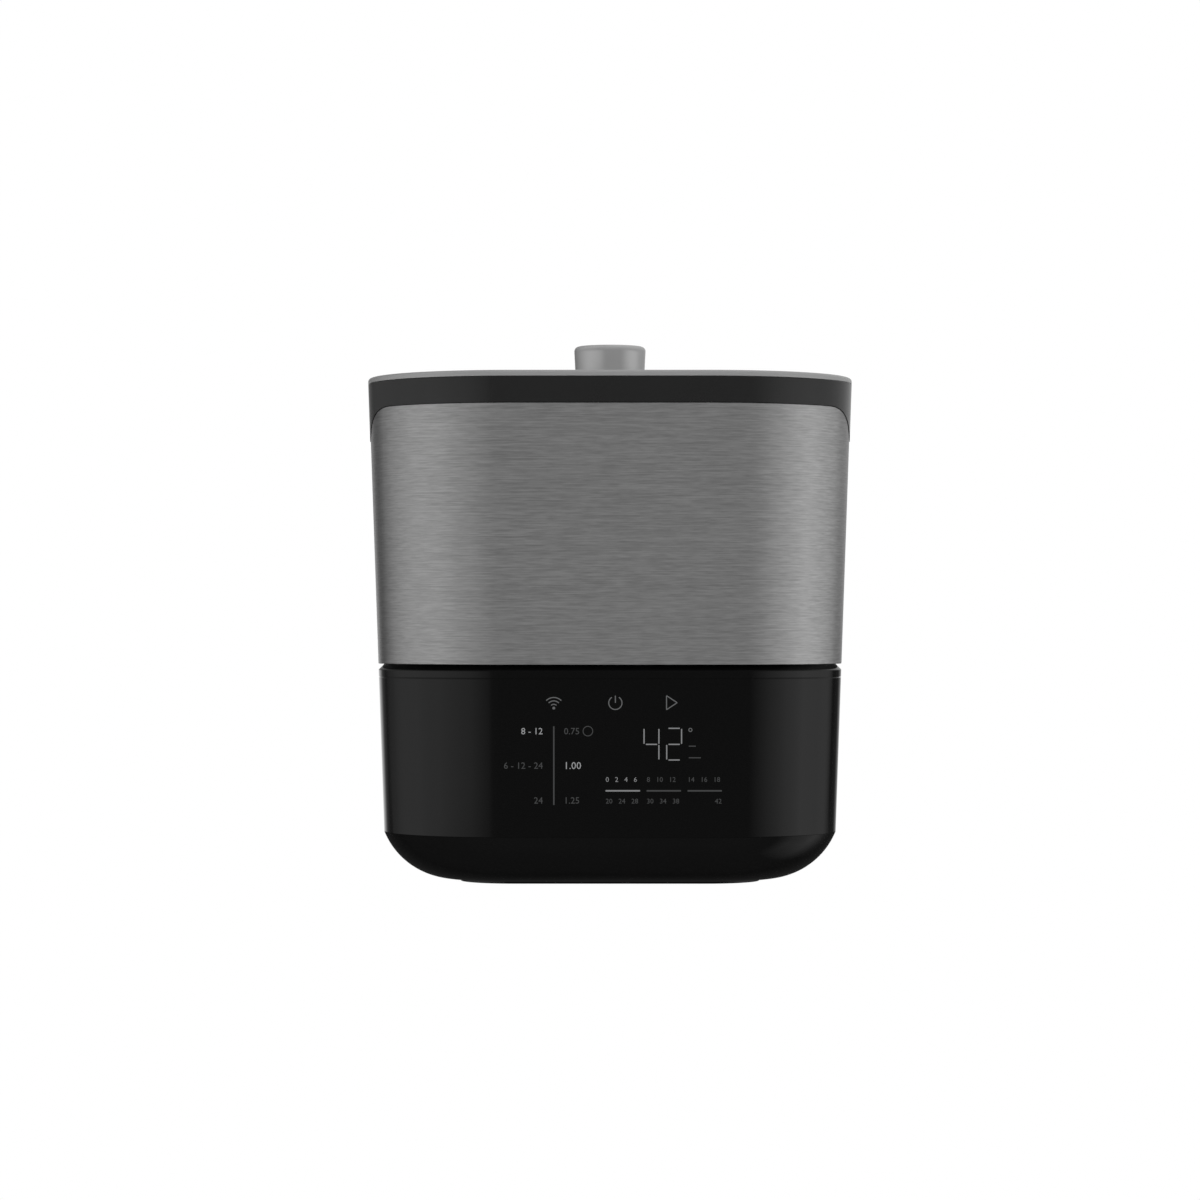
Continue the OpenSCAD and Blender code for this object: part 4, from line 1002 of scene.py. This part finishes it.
def make_floor():
    """Pale floor that the camera sees as white and that no finish mirrors."""
    bpy.ops.object.select_all(action="DESELECT")
    bpy.ops.mesh.primitive_plane_add(size=floor_size)
    floor = bpy.context.active_object
    floor.name = "floor"
    r = finish_recipe("floor_white")
    camera_ray = r.node("ShaderNodeLightPath", out="Is Camera Ray")
    paper = r.node("ShaderNodeBsdfDiffuse", {}, {"Color": grey(0.9)})
    white = r.node("ShaderNodeEmission", {}, {"Color": grey(1.0), "Strength": 1.0})
    seen = r.node("ShaderNodeMixShader", {}, {0: camera_ray, 1: paper, 2: white})
    r.node("ShaderNodeOutputMaterial", {}, {"Surface": seen})
    floor.data.materials.append(r.owner)
    floor.visible_glossy = False


def round_ramp(r, direction, stops, share=1.0):
    """A level that changes with the direction, from stops in degrees."""
    return r.ramp(direction, [(degrees / 360 + 0.5, level * share) for degrees, level in stops])


def make_world():
    """White to the camera, plain light for colours, and a simple studio for reflections."""
    r = Recipe(bpy.data.worlds.new("studio"))
    bpy.context.scene.world = r.owner
    way = r.node("ShaderNodeTexCoord", out="Generated")
    parts = r.node("ShaderNodeSeparateXYZ", {}, {0: way})
    x, y, z = parts.out("X"), parts.out("Y"), parts.out("Z")
    direction = parts.maths("ARCTAN2", x, 0 - y) / full_turn + 0.5
    height = z * 0.5 + 0.5
    behind = y > back_start
    walls = round_ramp(r, direction, wall_light, wall_share)
    walls_seen = r.blend(behind, r.ramp(height, wall_heights), r.ramp(height, back_heights))
    ceiling = round_ramp(r, direction, ceiling_light, ceiling_share)
    ground = r.ramp(y * 0.5 + 0.5, ground_light)
    from_right = r.blend(1.0, round_ramp(r, direction, right_light),
                         r.ramp(x * 0.5 + 0.5, right_reach), "MULTIPLY")
    ground = r.blend(1.0, ground, from_right, "ADD")
    quiet = r.blend(height > behind * back_ground_rise + ground_top, ground, ceiling)
    room = r.blend(walls_seen, quiet, walls)
    camera_ray = r.node("ShaderNodeLightPath", out="Is Camera Ray")
    glossy_ray = r.node("ShaderNodeLightPath", out="Is Glossy Ray")
    plain = r.node("ShaderNodeBackground", {}, {"Color": grey(1.0), "Strength": plain_strength})
    studio = r.node("ShaderNodeBackground", {}, {"Color": room, "Strength": studio_strength})
    white = r.node("ShaderNodeBackground", {}, {"Color": grey(1.0), "Strength": 1.0})
    seen = r.node("ShaderNodeMixShader", {}, {0: glossy_ray, 1: plain, 2: studio})
    seen = r.node("ShaderNodeMixShader", {}, {0: camera_ray, 1: seen, 2: white})
    r.node("ShaderNodeOutputWorld", {}, {"Surface": seen})


def make_lamp():
    """A large soft lamp above the camera's side, which no finish mirrors."""
    bpy.ops.object.light_add(type="AREA", location=lamp_place)
    lamp = bpy.context.active_object
    lamp.name = "lamp_top"
    lamp.data.shape = "RECTANGLE"
    lamp.data.size = lamp.data.size_y = lamp_size
    lamp.data.energy = lamp_power
    lamp.rotation_euler = (Vector(lamp_aim) - Vector(lamp_place)).to_track_quat("-Z", "Y").to_euler()
    lamp.visible_camera = False
    lamp.visible_glossy = False


make_camera()
make_floor()
make_world()
make_lamp()
bpy.context.scene.view_settings.view_transform = "Standard"
dress_frame()
make_lid_plate()
make_knob()
make_collar()
make_shell()
make_top_ring()
make_housing()
make_tray()
make_pot()
make_panel()
